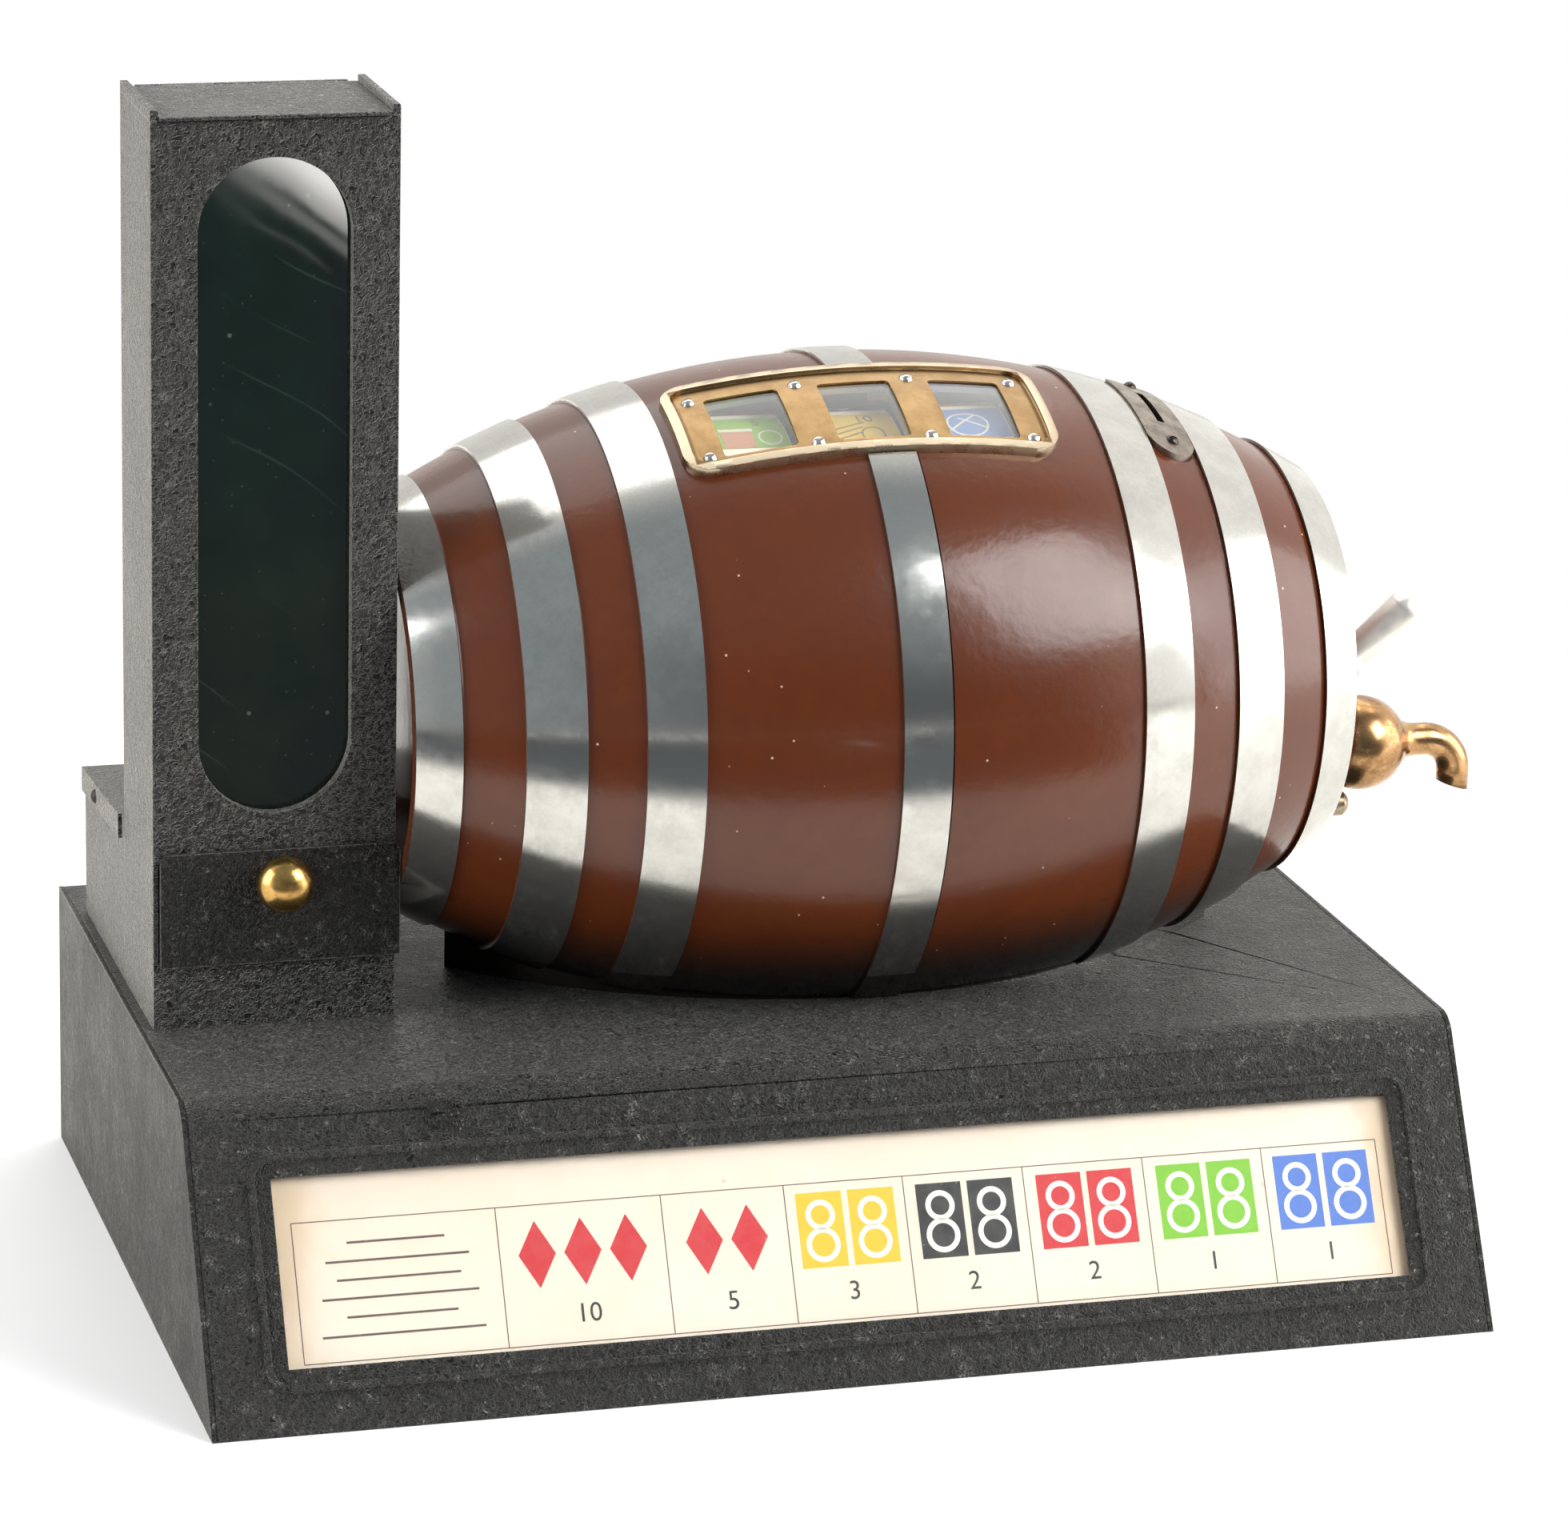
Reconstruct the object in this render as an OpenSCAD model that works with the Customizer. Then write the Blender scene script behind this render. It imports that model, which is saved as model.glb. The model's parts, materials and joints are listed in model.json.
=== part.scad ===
// Counter-top trade stimulator: a cast barrel with three reels, a vending tower and a sheet-metal base.
// Millimetres, +Z up. The origin is the middle of the base on the surface it stands on, the front faces -Y.

/* [Base] */
// Width of the base over its side panels
base_w = 406; // [400:1:430]
// Depth of the base at the floor
base_d = 266; // [262:1:286]
// Height of the base
base_h = 88; // [84:1:96]
// How far the foot of the sloping front stands ahead of its top
front_run = 50; // [46:1:54]
// Outer radius of the bend between top and front
bend_r = 10; // [8:0.5:12]
// Thickness of the steel sheet of the base
sheet = 1.5; // [1.2:0.1:1.8]
// Width of the flanges inside the side panels
flange_w = 10; // [6:1:12]

/* [Award card] */
// Width of the front beside each end of the card opening
card_side = 25; // [23:0.5:33]
// Height of the opening, along the slope
card_h = 57.5; // [52:0.5:60]
// Distance of the opening below the bend corner, along the slope
card_drop = 23.8; // [22:0.2:26]
// Distance of the stamped frame outside the opening
frame_gap = 5; // [4:0.5:6]
// Width of the stamped frame
frame_w = 2.2; // [1.5:0.1:2.5]
// Height of the stamped frame over the sheet
frame_rise = 0.7; // [0.4:0.1:1.2]
// Thickness of the card's glass
card_glass_t = 2; // [1.5:0.1:2.5]
// Thickness of the award card
card_t = 0.5; // [0.3:0.1:0.8]
// How far the glass reaches past the opening
card_lap = 4.5; // [3:0.5:5]

/* [Tower] */
// Width of the tower
tower_w = 75.8; // [72:0.2:78]
// Depth of the tower
tower_d = 50; // [48:0.5:54]
// Height of the tower above the base
tower_h = 287; // [270:1:300]
// Distance of the tower from the left side of the base
tower_inset = 4.4; // [3:0.2:8]
// Distance of the tower's front ahead of the middle of the base
tower_ahead = 15.6; // [13:0.2:18]
// Thickness of the tower's sheet
tower_sheet = 1.2; // [1:0.1:1.5]
// Distance of the housing's back ahead of the back of the base
rear_gap = 27.6; // [24:0.2:29]
// Height of the rear housing where it meets the tower
rear_h = 54; // [52:0.5:58]
// Fall of the housing's top towards the back
rear_fall = 4.6; // [2:0.2:5]
// Width of the tower's window
window_w = 47.4; // [44:0.2:52]
// Height of the tower's window
window_h = 204; // [190:1:208]
// Height of the window's lower end above the base
window_rise = 68; // [66:1:72]
// Depth of the window's turned-in edge
window_lip = 3.4; // [2:0.2:5]
// Thickness of the window's glass
pane_t = 2; // [1.5:0.1:3]
// Thickness of the lid
lid_t = 1.2; // [1:0.1:1.6]

/* [Drawer] */
// Height of the drawer's front plate
drawer_h = 36.4; // [34:0.2:38]
// Width of the drawer's front plate
drawer_w = 75; // [73:0.2:75]
// How far the front plate sits right of the tower's middle
drawer_shift = 1.5; // [0:0.1:1.5]
// Height of the front plate's lower edge above the base
drawer_rise = 20.6; // [20:0.2:22]
// Thickness of the front plate
drawer_t = 1.8; // [1.2:0.1:2.4]
// Height of the tray
tray_h = 24; // [20:0.5:24.5]
// Depth of the tray's pocket from front to back
pocket_d = 44.8; // [40:0.2:46]
// Length of the plate behind the pocket that closes the column
shutter_len = 57; // [55:0.5:58]
// Diameter of the knob
knob_d = 16; // [14:0.5:18]
// Height of the knob above the base
knob_rise = 48; // [46.5:0.5:49]

/* [Barrel] */
// Radius of the painted barrel at its middle
barrel_r = 104.7; // [100:0.5:106]
// Radius of the barrel at its ends
barrel_end_r = 62; // [58:0.5:66]
// Half the length of the barrel
half_len = 152.9; // [148:0.1:155]
// Thickness of the casting
wall = 4; // [3:0.5:4.5]
// Clearance between the tower and the barrel's left end
barrel_gap = 1.6; // [1.6:0.1:4]
// How much of the barrel's height its foot cuts away
barrel_sink = 15.7; // [14:0.1:17]
// How far the hoops stand proud of the paint
hoop_h = 1.3; // [0.8:0.1:2]
// Width of the end hoops
hoop_end_w = 13; // [11:0.5:15]
// Distance of the outer pair of hoops from the middle
hoop_outer_at = 113.5; // [111:0.5:116]
// Distance of the inner pair of hoops from the middle
hoop_inner_at = 79; // [76:0.5:82]
// Width of the paired hoops
hoop_w = 17.4; // [15:0.2:19]
// Width of the middle hoop
hoop_mid_w = 15.5; // [13:0.5:17]
// Distance of the joint between the halves right of the middle
seam_at = 5; // [3:0.5:7]
// Width of the groove at the joint
seam_gap = 0.9; // [0.4:0.1:1.4]
// Depth of the recess in front of each head
head_recess = 6; // [4:0.5:8]
// Thickness of the heads
head_t = 4; // [3:0.5:5]
// Half the width of the barrel's foot at the middle
foot_half = 56; // [55:0.5:58]
// Radius of the foot's curved sides
foot_r = 176; // [170:1:190]

/* [Reel window] */
// Length of the window frame along the barrel
bezel_l = 120.6; // [116:0.2:126]
// Height of the window frame around the barrel
bezel_h = 46; // [45:0.2:48]
// How far the frame's middle sits behind the windows' middle
bezel_back = 2.6; // [1.6:0.1:3]
// Distance of the window frame from the barrel's middle, to the left
bezel_off = 6.5; // [4.5:0.1:8]
// Angle of the window frame above the horizontal
bezel_angle = 68; // [66:0.5:70]
// Height of the frame's rim over the paint
bezel_rim = 3.2; // [2.6:0.1:4.4]
// Height of the frame's face over the paint
bezel_face = 1.8; // [1.8:0.1:2.4]
// Width of the frame's rim
rim_w = 3; // [2.6:0.1:3.2]
// Radius of the frame's corners
bezel_corner = 9; // [7:0.5:11]
// Width of one reel window
view_w = 23.3; // [21:0.1:24]
// Height of one reel window
view_h = 29.6; // [26:0.2:30]
// Distance between the reel windows
reel_pitch = 36; // [35.6:0.1:36.6]
// Thickness of the pane behind the frame
reel_pane_t = 1.2; // [0.8:0.1:1.5]

/* [Coin plate] */
// Length of the coin plate around the barrel
coin_plate_l = 56; // [52:0.5:58]
// Width of the coin plate
coin_plate_w = 16; // [14:0.2:16.4]
// Thickness of the coin plate
coin_plate_t = 2; // [1.5:0.1:2.5]
// Angle of the coin plate above the horizontal
coin_angle = 79.6; // [77:0.2:82]
// Distance of the coin slot right of the barrel's middle
coin_at = 95.9; // [95.5:0.1:96.3]
// Length of the coin slot
slot_l = 22.6; // [20:0.2:24]
// Width of the coin slot
slot_w = 2.6; // [2:0.1:3]

/* [Handle and spigot] */
// Distance of the handle's shaft ahead of the barrel's axis
handle_ahead = 29; // [28:0.5:30]
// Clearance between the handle shaft and the reels above it
reel_gap = 3.47; // [3:0.01:4.5]
// Diameter of the handle's shaft
handle_shaft_d = 8; // [7:0.2:9]
// Diameter of the handle's hub
hub_d = 13; // [12.5:0.1:14]
// Length of the handle's hub
hub_l = 17; // [15:0.5:18]
// Length of the grip from the shaft's axis to the middle of its round end
grip_l = 30.7; // [26:0.1:34]
// Angle of the grip above the shaft
grip_angle = 37; // [32:1:42]
// Diameter of the grip at its root
grip_d0 = 7.6; // [7:0.2:9]
// Diameter of the grip at its end
grip_d1 = 13.4; // [12:0.2:15]
// Distance of the spigot below the handle's shaft
spigot_drop = 25; // [24:0.5:27]
// Diameter of the spigot's ball
ball_d = 30.8; // [27:0.2:32]
// Diameter of the spigot's spout
spout_d = 10.6; // [9:0.2:11.4]
// Radius of the spout's bend along its middle
spout_bend = 11; // [9:0.5:12]
// How far the keg plug's shank stands out of the head
keg_plug_l = 15.3; // [8:0.1:17]

/* [Reels] */
// Diameter of the reels
reel_d = 80; // [78:0.5:81]
// Width of the reels
reel_w = 26; // [24:0.5:26.5]
// Distance from the barrel's skin to the reels
reel_depth = 12; // [11:0.5:13]
// Diameter of the reels' shaft
reel_shaft_d = 8; // [7:0.5:9]
// Diameter of the star wheels over their teeth
star_d = 40; // [39:0.5:41]
// Depth of the star wheels' teeth
star_tooth = 3.5; // [3:0.1:4]
// Thickness of the star wheels, dogs and kickers
star_t = 3; // [2:0.2:3.4]
// Diameter of the dogs' shaft
dog_shaft_d = 6; // [5:0.5:7]
// Thickness of the mechanism's side plates
plate_t = 2.5; // [2:0.1:3]
// Diameter of the rods between the side plates
rod_d = 7; // [6:0.5:8]

/* [Cash door] */
// Width of the opening in the back
cash_w = 90; // [84:1:94]
// Height of the opening in the back
cash_h = 56; // [50:1:58]
// Height of the opening above the floor
cash_rise = 14; // [12:1:16]
// How far the door laps over the back
door_lap = 4; // [3:0.5:5]
// Diameter of the hinge pins
pin_d = 2.4; // [2:0.1:2.8]

/* [Hidden] */

black = [0.10, 0.10, 0.10];
steel = [0.62, 0.63, 0.65];
brown = [0.36, 0.17, 0.09];
brass = [0.80, 0.62, 0.30];
paper = [0.90, 0.86, 0.74];

fit = 0.05;
slack = 0.3;
eps = 0.01;
far = 400;

back_y = base_d / 2;
corner_y = -base_d / 2 + front_run;
slope_l = norm([front_run, base_h]);
slope_a = atan2(base_h, front_run);
bend_z = base_h - bend_r;
bend_y = corner_y + bend_r * tan(slope_a / 2);

card_w = base_w - 2 * card_side;
front_screw_x = 78.2 - base_w / 2;

tower_x0 = -base_w / 2 + tower_inset;
tower_x1 = tower_x0 + tower_w;
tower_xm = (tower_x0 + tower_x1) / 2;
tower_y0 = -tower_ahead;
tower_y1 = tower_y0 + tower_d;
tower_top = base_h + tower_h;
rear_y1 = back_y - rear_gap;
rear_len = rear_y1 - tower_y1;
rear_z0 = base_h + rear_h;
rear_z1 = rear_z0 - rear_fall;
hem = 2 * tower_sheet;
lid_z = tower_top - 2;
lid_pin_y = tower_y1 + 2.6;
knuckle_r = pin_d / 2 + 1.1;
lid_pin_z = lid_z - knuckle_r;
hinge_unit = tower_w / 76;

bed_top = base_h + 22;
tray_z0 = bed_top + slack;
tray_x0 = tower_x0 + tower_sheet + 1;
tray_x1 = tower_x1 - tower_sheet - 1;
tray_t = 1.2;
tray_y0 = tower_y0 - 0.2;
pocket_y0 = tray_y0 + tray_t;
pocket_y1 = pocket_y0 + pocket_d;
tray_y1 = pocket_y1 + shutter_len;
knob_x = tower_xm + 1.4;
knob_z = base_h + knob_rise;
front_y = tray_y0 - drawer_t;

axis_y = back_y - barrel_r - hoop_h;
axis_z = base_h + barrel_r - barrel_sink;
barrel_x = tower_x1 + barrel_gap + half_len;
sag = barrel_r - barrel_end_r;
arc_r = (half_len * half_len + sag * sag) / (2 * sag);
arc_off = arc_r - barrel_r;
head_out = half_len - head_recess;
head_in = head_out - head_t;
rim_r = barrel_end_r - wall;
bezel_turn = 90 - bezel_angle;
coin_turn = 90 - coin_angle;
bezel_x = barrel_x - bezel_off;
screw_rows = [-view_h / 2 + 0.2, view_h / 2 + 0.9];
screw_cols = [-1.5 * reel_pitch + 2.2, -0.5 * reel_pitch, 0.5 * reel_pitch, 1.5 * reel_pitch - 2.2];
foot_top = 15;
foot_bolt_x = 0.706 * half_len;
foot_bolt_y = 0.16 * foot_half;
plate_unit = barrel_r / 100;

reel_r = reel_d / 2;
strip_t = 0.3;
reel_out = barrel_r - reel_depth - reel_r;
reel_y = axis_y - reel_out * cos(bezel_angle);
reel_z = axis_z + reel_out * sin(bezel_angle);
handle_y = axis_y - handle_ahead;
shaft_r = handle_shaft_d / 2;
shaft_away = reel_r + strip_t + reel_gap + shaft_r;
handle_z = reel_z - sqrt(shaft_away * shaft_away - (reel_y - handle_y) * (reel_y - handle_y));
head_x = barrel_x + head_out;
hub_x0 = head_x + 2.6;
hub_x1 = hub_x0 + hub_l;
spigot_z = handle_z - spigot_drop;
ball_x = barrel_x + half_len + ball_d / 2;

star_r = star_d / 2;
star_root = star_r - star_tooth;
star_off = reel_pitch / 2;
stops = 12;
star_turn = 360 / stops;
hub_r = reel_shaft_d / 2 + 3;
dog_y = reel_y + star_root + 3.7;
dog_z = reel_z - 47.5;
dog_r = dog_shaft_d / 2;
nose_gap = 0.7;
kick_r = norm([reel_y - handle_y, reel_z - handle_z]) - star_r - 1;
kick_start = 50;
plate_x0 = bezel_x - reel_pitch - reel_w / 2 - 12.7;
plate_x1 = bezel_x + reel_pitch + star_off + star_t / 2 + 3.6;
chute_x = barrel_x + coin_at;
plate_bolt = 8;
plate_foot = 1.5;

cash_x = base_w / 2 - 63;
door_t = 1.6;
door_y0 = back_y + 0.1;
door_pin_x = cash_x - cash_w / 2 - door_lap - 3;
door_pin_y = door_y0 + door_t / 2;
door_z0 = cash_rise - door_lap;
door_h = cash_h + 2 * door_lap;
lock_x = cash_x + cash_w / 2 - 14;
lock_z = cash_rise + cash_h / 2;
lock_r = 8;
lock_in = 5;
cam_t = 1.6;
plug_r = 4;

card_back = -(sheet + card_glass_t + card_t);

// A rectangle with round corners, centred
module round_rect(w, h, r) {
  square([w - 2 * r, h], center = true);
  square([w, h - 2 * r], center = true);
  for (i = [-1, 1], j = [-1, 1])
    translate([i * (w / 2 - r), j * (h / 2 - r)]) circle(r = r, $fn = 48);
}

// An upright slot with round ends, centred
module stadium(w, h) {
  square([w, h - w], center = true);
  for (j = [-1, 1]) translate([0, j * (h - w) / 2]) circle(d = w, $fn = 96);
}

// A cylinder along X from x0 to x1
module rod(y, z, r, x0, x1) {
  translate([x0, y, z]) rotate([0, 90, 0]) cylinder(r = r, h = x1 - x0, $fn = 64);
}

// A YZ outline extruded along X from x0 to x1
module slab_x(x0, x1) {
  translate([x0, 0, 0]) rotate([90, 0, 90]) linear_extrude(x1 - x0) children();
}

// An XZ outline extruded along Y from y0 to y1
module slab_y(y0, y1) {
  translate([0, y1, 0]) rotate([90, 0, 0]) linear_extrude(y1 - y0) children();
}

// Outline of the base in Y and Z, its top and front moved in by o
module base_outline(o) {
  tangent = [bend_y - (bend_r - o) * base_h / slope_l, bend_z + (bend_r - o) * front_run / slope_l];
  polygon([[back_y, 0], [back_y, base_h - o], [bend_y, base_h - o], [bend_y, bend_z], tangent,
    [tangent[0] - tangent[1] * front_run / base_h, 0]]);
  translate([bend_y, bend_z]) circle(r = bend_r - o, $fn = 96);
}

// Puts children on the sloping front: local Y runs up the slope, local Z out of it
module on_slope() {
  translate([0, corner_y, base_h]) rotate([slope_a, 0, 0]) children();
}

module base_cover() color(black) {
  x = base_w / 2 - sheet - 0.1;
  difference() {
    union() {
      slab_x(-x, x) difference() {
        base_outline(0);
        base_outline(sheet);
        translate([back_y - far / 2, -1]) square([far, 1 + eps]);
      }
      on_slope() translate([0, -card_drop - card_h / 2, -eps]) linear_extrude(frame_rise + eps)
        difference() {
          round_rect(card_w + 2 * (frame_gap + frame_w), card_h + 2 * (frame_gap + frame_w), 8);
          round_rect(card_w + 2 * frame_gap, card_h + 2 * frame_gap, 8 - frame_w);
        }
    }
    on_slope() translate([-card_w / 2, -card_drop - card_h, -far / 8]) cube([card_w, card_h, far / 4]);
    on_slope() translate([front_screw_x, -8.4, -far / 40]) cylinder(r = 2, h = far / 20, $fn = 48);
    translate([chute_x - 4, axis_y - 16, base_h - far / 20]) cube([8, 32, far / 10]);
    bolt_places(base_h - far / 20, far / 10);
  }
}

// Shanks of the bolts through the top of the base
module bolt_places(z, h) {
  for (i = [-1, 1], j = [-1, 1])
    translate([barrel_x + i * foot_bolt_x, axis_y + j * foot_bolt_y, z]) cylinder(d = 5, h = h, $fn = 48);
  for (j = [0.12, 0.85])
    translate([tower_xm, tower_y0 + j * (tower_d + rear_len), z]) cylinder(d = 4, h = h, $fn = 48);
  for (x = [plate_x0 - 5.5, plate_x1 + plate_t + 5.5], j = [-1, 1])
    translate([x, axis_y + j * plate_bolt, z]) cylinder(d = 4, h = h, $fn = 48);
}

module base_bolts() color(steel) {
  drop = 3;
  for (i = [-1, 1], j = [-1, 1]) translate([barrel_x + i * foot_bolt_x, axis_y + j * foot_bolt_y, 0]) {
    translate([0, 0, base_h - sheet]) cylinder(d = 5, h = sheet + 6, $fn = 48);
    translate([0, 0, base_h - sheet - drop]) cylinder(d = 9, h = drop, $fn = 6);
  }
  for (j = [0.12, 0.85]) translate([tower_xm, tower_y0 + j * (tower_d + rear_len), 0]) {
    translate([0, 0, base_h - sheet]) cylinder(d = 4, h = sheet + tower_sheet + 4, $fn = 48);
    translate([0, 0, base_h - sheet - drop]) cylinder(d = 8, h = drop, $fn = 6);
    translate([0, 0, base_h + tower_sheet]) cylinder(d = 8, h = 3, $fn = 6);
  }
  for (x = [plate_x0 - 5.5, plate_x1 + plate_t + 5.5], j = [-1, 1]) translate([x, axis_y + j * plate_bolt, 0]) {
    translate([0, 0, base_h - sheet]) cylinder(d = 4, h = sheet + plate_foot + 3, $fn = 48);
    translate([0, 0, base_h - sheet - drop]) cylinder(d = 8, h = drop, $fn = 6);
    translate([0, 0, base_h + plate_foot]) cylinder(d = 7, h = 2.6, $fn = 6);
  }
}

// One side panel with the flange that the cover lies on; side is -1 at the left
module side_panel(side) {
  x0 = base_w / 2 - sheet;
  mirror([side < 0 ? 1 : 0, 0, 0]) {
    slab_x(x0, base_w / 2) base_outline(0);
    slab_x(x0 - flange_w, x0) difference() {
      base_outline(sheet + 0.1);
      base_outline(sheet + 0.1 + sheet);
      translate([back_y - 2 * sheet, -1]) square([far, far]);
      translate([-far / 2, -1]) square([far, 1 + 2 * sheet]);
    }
  }
}

module left_side_panel() color(black) side_panel(-1);

module right_side_panel() color(black) side_panel(1);

module back_panel() color(black) {
  x = base_w / 2 - sheet - 0.1;
  difference() {
    translate([-x, back_y - sheet, 0]) cube([2 * x, sheet, base_h - sheet - 0.1]);
    translate([cash_x - cash_w / 2, back_y - 2 * sheet, cash_rise]) cube([cash_w, 3 * sheet, cash_h]);
  }
  // Middle hinge knuckle and its leaf
  difference() {
    union() {
      translate([door_pin_x, door_pin_y + 2.2, cash_rise + cash_h / 2 - 9])
        cylinder(r = knuckle_r, h = 18, $fn = 48);
      translate([door_pin_x - 9, back_y - eps, cash_rise + cash_h / 2 - 9])
        cube([9, 1.2, 18]);
      translate([door_pin_x - 1.2, back_y - eps, cash_rise + cash_h / 2 - 9])
        cube([1.2, door_pin_y + 2.2 - back_y, 18]);
    }
    translate([door_pin_x, door_pin_y + 2.2, 0]) cylinder(d = pin_d, h = base_h, $fn = 48);
  }
}

module floor_plate() color(black) {
  x = base_w / 2 - sheet - 0.1;
  slab_x(-x, x) intersection() {
    base_outline(sheet + 0.1);
    translate([back_y - sheet - 0.1 - far, 0]) square([far, sheet]);
  }
}

module award_card() color(paper) {
  on_slope() translate([-card_w / 2 - card_lap, -card_drop - card_h - card_lap, card_back])
    cube([card_w + 2 * card_lap, card_h + 2 * card_lap, card_t]);
}

module card_glass() color([0.8, 0.9, 0.9, 0.4]) {
  on_slope() translate([-card_w / 2 - card_lap, -card_drop - card_h - card_lap, card_back + card_t])
    cube([card_w + 2 * card_lap, card_h + 2 * card_lap, card_glass_t]);
}

module card_clamps() color(steel) {
  top = -card_drop + card_lap;
  low = -card_drop - card_h - card_lap;
  w = card_w + 2 * card_lap - 20;
  on_slope() for (s = [1, -1]) {
    edge = s > 0 ? top : low;
    translate([-w / 2, s > 0 ? edge : edge - 3, card_back - 1.2]) cube([w, 3, 1.2 - card_back - sheet]);
    translate([-w / 2, s > 0 ? edge - 3.5 : edge, card_back - 1.2]) cube([w, 3.5, 1.2]);
  }
}

module front_screw() color(black) {
  on_slope() translate([front_screw_x, -8.4, 0]) {
    difference() {
      intersection() {
        cylinder(r = 4.3, h = 4, $fn = 64);
        translate([0, 0, -4.6]) sphere(r = 6.7, $fn = 96);
      }
      translate([-5, -0.5, 1.3]) cube([10, 1, 3]);
    }
    translate([0, 0, -sheet - 3]) cylinder(r = 2, h = sheet + 3 + eps, $fn = 48);
  }
}

module cash_box() color(black) {
  x0 = cash_x - cash_w / 2 + 6;
  w = cash_w - 18;
  y0 = axis_y - 24;
  y1 = back_y - lock_in - 8;
  z0 = sheet + 0.1;
  h = 50;
  difference() {
    translate([x0, y0, z0]) cube([w, y1 - y0, h]);
    translate([x0 + 1.2, y0 + 1.2, z0 + 1.2]) cube([w - 2.4, y1 - y0 - 2.4, h]);
  }
}

module cash_door() color(black) {
  x0 = cash_x - cash_w / 2 - door_lap;
  difference() {
    translate([x0, door_y0, door_z0]) cube([cash_w + 2 * door_lap, door_t, door_h]);
    translate([lock_x, back_y - 5, lock_z]) rotate([-90, 0, 0]) cylinder(r = lock_r - 1, h = 20, $fn = 64);
  }
  for (z = [door_z0 + 4, door_z0 + door_h - 20]) difference() {
    union() {
      translate([door_pin_x, door_pin_y + 2.2, z]) cylinder(r = knuckle_r, h = 16, $fn = 48);
      translate([door_pin_x, door_y0 + door_t - eps, z]) cube([3 + 8, 1.2, 16]);
    }
    translate([door_pin_x, door_pin_y + 2.2, 0]) cylinder(d = pin_d + 2 * fit, h = base_h, $fn = 48);
  }
}

module cash_hinge_pin() color(steel) {
  z0 = door_z0 + 2;
  translate([door_pin_x, door_pin_y + 2.2, z0]) cylinder(d = pin_d, h = door_h - 4, $fn = 48);
}

module cash_lock_barrel() color(brass) {
  y0 = back_y - lock_in + cam_t + 0.4;
  difference() {
    translate([lock_x, 0, lock_z]) rotate([-90, 0, 0]) {
      translate([0, 0, door_y0 + door_t]) cylinder(r = lock_r + 1.5, h = 2, $fn = 64);
      translate([0, 0, y0]) cylinder(r = lock_r - 1, h = door_y0 + door_t - y0 + eps, $fn = 64);
    }
    translate([lock_x, 0, lock_z]) rotate([-90, 0, 0]) cylinder(r = plug_r + fit, h = back_y + 20, $fn = 64);
  }
}

module cash_lock_plug() color(brass) {
  y0 = back_y - lock_in;
  y1 = door_y0 + door_t + 2.3;
  translate([lock_x, 0, lock_z]) rotate([-90, 0, 0]) difference() {
    union() {
      translate([0, 0, y0 + cam_t]) cylinder(r = plug_r, h = y1 - y0 - cam_t, $fn = 64);
      translate([0, 0, y0 - 0.6]) cylinder(r = plug_r - 1.5, h = cam_t + 1, $fn = 48);
    }
    translate([-0.6, -2.8, y1 - 4]) cube([1.2, 5.6, 5]);
  }
}

module cash_lock_cam() color(steel) {
  translate([lock_x, back_y - lock_in, lock_z]) rotate([-90, 0, 0]) difference() {
    union() {
      cylinder(r = 5, h = cam_t, $fn = 48);
      translate([-4, -20, 0]) cube([8, 20, cam_t]);
    }
    translate([0, 0, -1]) cylinder(r = plug_r - 1.5, h = cam_t + 2, $fn = 48);
  }
}

// Side of the tower with the side of the rear housing in one sheet
module tower_side_outline() {
  polygon([[tower_y0, base_h], [rear_y1 - tower_sheet - 0.1, base_h],
    [rear_y1 - tower_sheet - 0.1, rear_z1 - tower_sheet - 0.3],
    [tower_y1, rear_z0 - tower_sheet - 0.3], [tower_y1, tower_top], [tower_y0, tower_top]]);
}

module tower_shell() color(black) {
  mid = base_h + window_rise + window_h / 2;
  difference() {
    union() {
      slab_x(tower_x0, tower_x0 + tower_sheet) tower_side_outline();
      slab_x(tower_x1 - tower_sheet, tower_x1) tower_side_outline();
      translate([tower_x0, tower_y0, base_h]) cube([tower_w, tower_sheet, tower_h - 3.6]);
      for (x = [tower_x0, tower_x1 - hem])
        translate([x, tower_y0, tower_top - 5]) cube([hem, tower_d, 5]);
      slab_y(tower_y0, tower_y0 + tower_sheet + window_lip)
        translate([tower_xm, mid]) stadium(window_w + 2 * tower_sheet, window_h + 2 * tower_sheet);
    }
    slab_y(tower_y0 - 5, tower_y0 + 20) translate([tower_xm, mid]) stadium(window_w, window_h);
    translate([tray_x0 - 0.5, tower_y0 - 5, bed_top - slack])
      cube([tray_x1 - tray_x0 + 1, 5 + tower_sheet + 0.5, 32]);
  }
}

module tower_back() color(black) {
  z0 = rear_z0 - tower_sheet;
  x0 = tower_x0 + tower_sheet;
  difference() {
    union() {
      translate([x0, tower_y1 - tower_sheet, z0])
        cube([tower_w - 2 * tower_sheet, tower_sheet, tower_top - 3.6 - z0]);
      for (s = [[-33, -25.3], [-8.7, 8.7], [25.3, 33]] * hinge_unit) {
        rod(lid_pin_y, lid_pin_z, knuckle_r, tower_xm + s[0], tower_xm + s[1]);
        translate([tower_xm + s[0], tower_y1 - eps, lid_pin_z - knuckle_r])
          cube([s[1] - s[0], lid_pin_y - tower_y1, 1]);
      }
    }
    rod(lid_pin_y, lid_pin_z, pin_d / 2, tower_x0, tower_x1);
    translate([tower_x0, tower_y1 - tower_sheet - 1, tower_top - 5.1]) cube([hem + 0.1, 3, 6]);
    translate([tower_x1 - hem - 0.1, tower_y1 - tower_sheet - 1, tower_top - 5.1]) cube([hem + 0.1, 3, 6]);
  }
}

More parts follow.
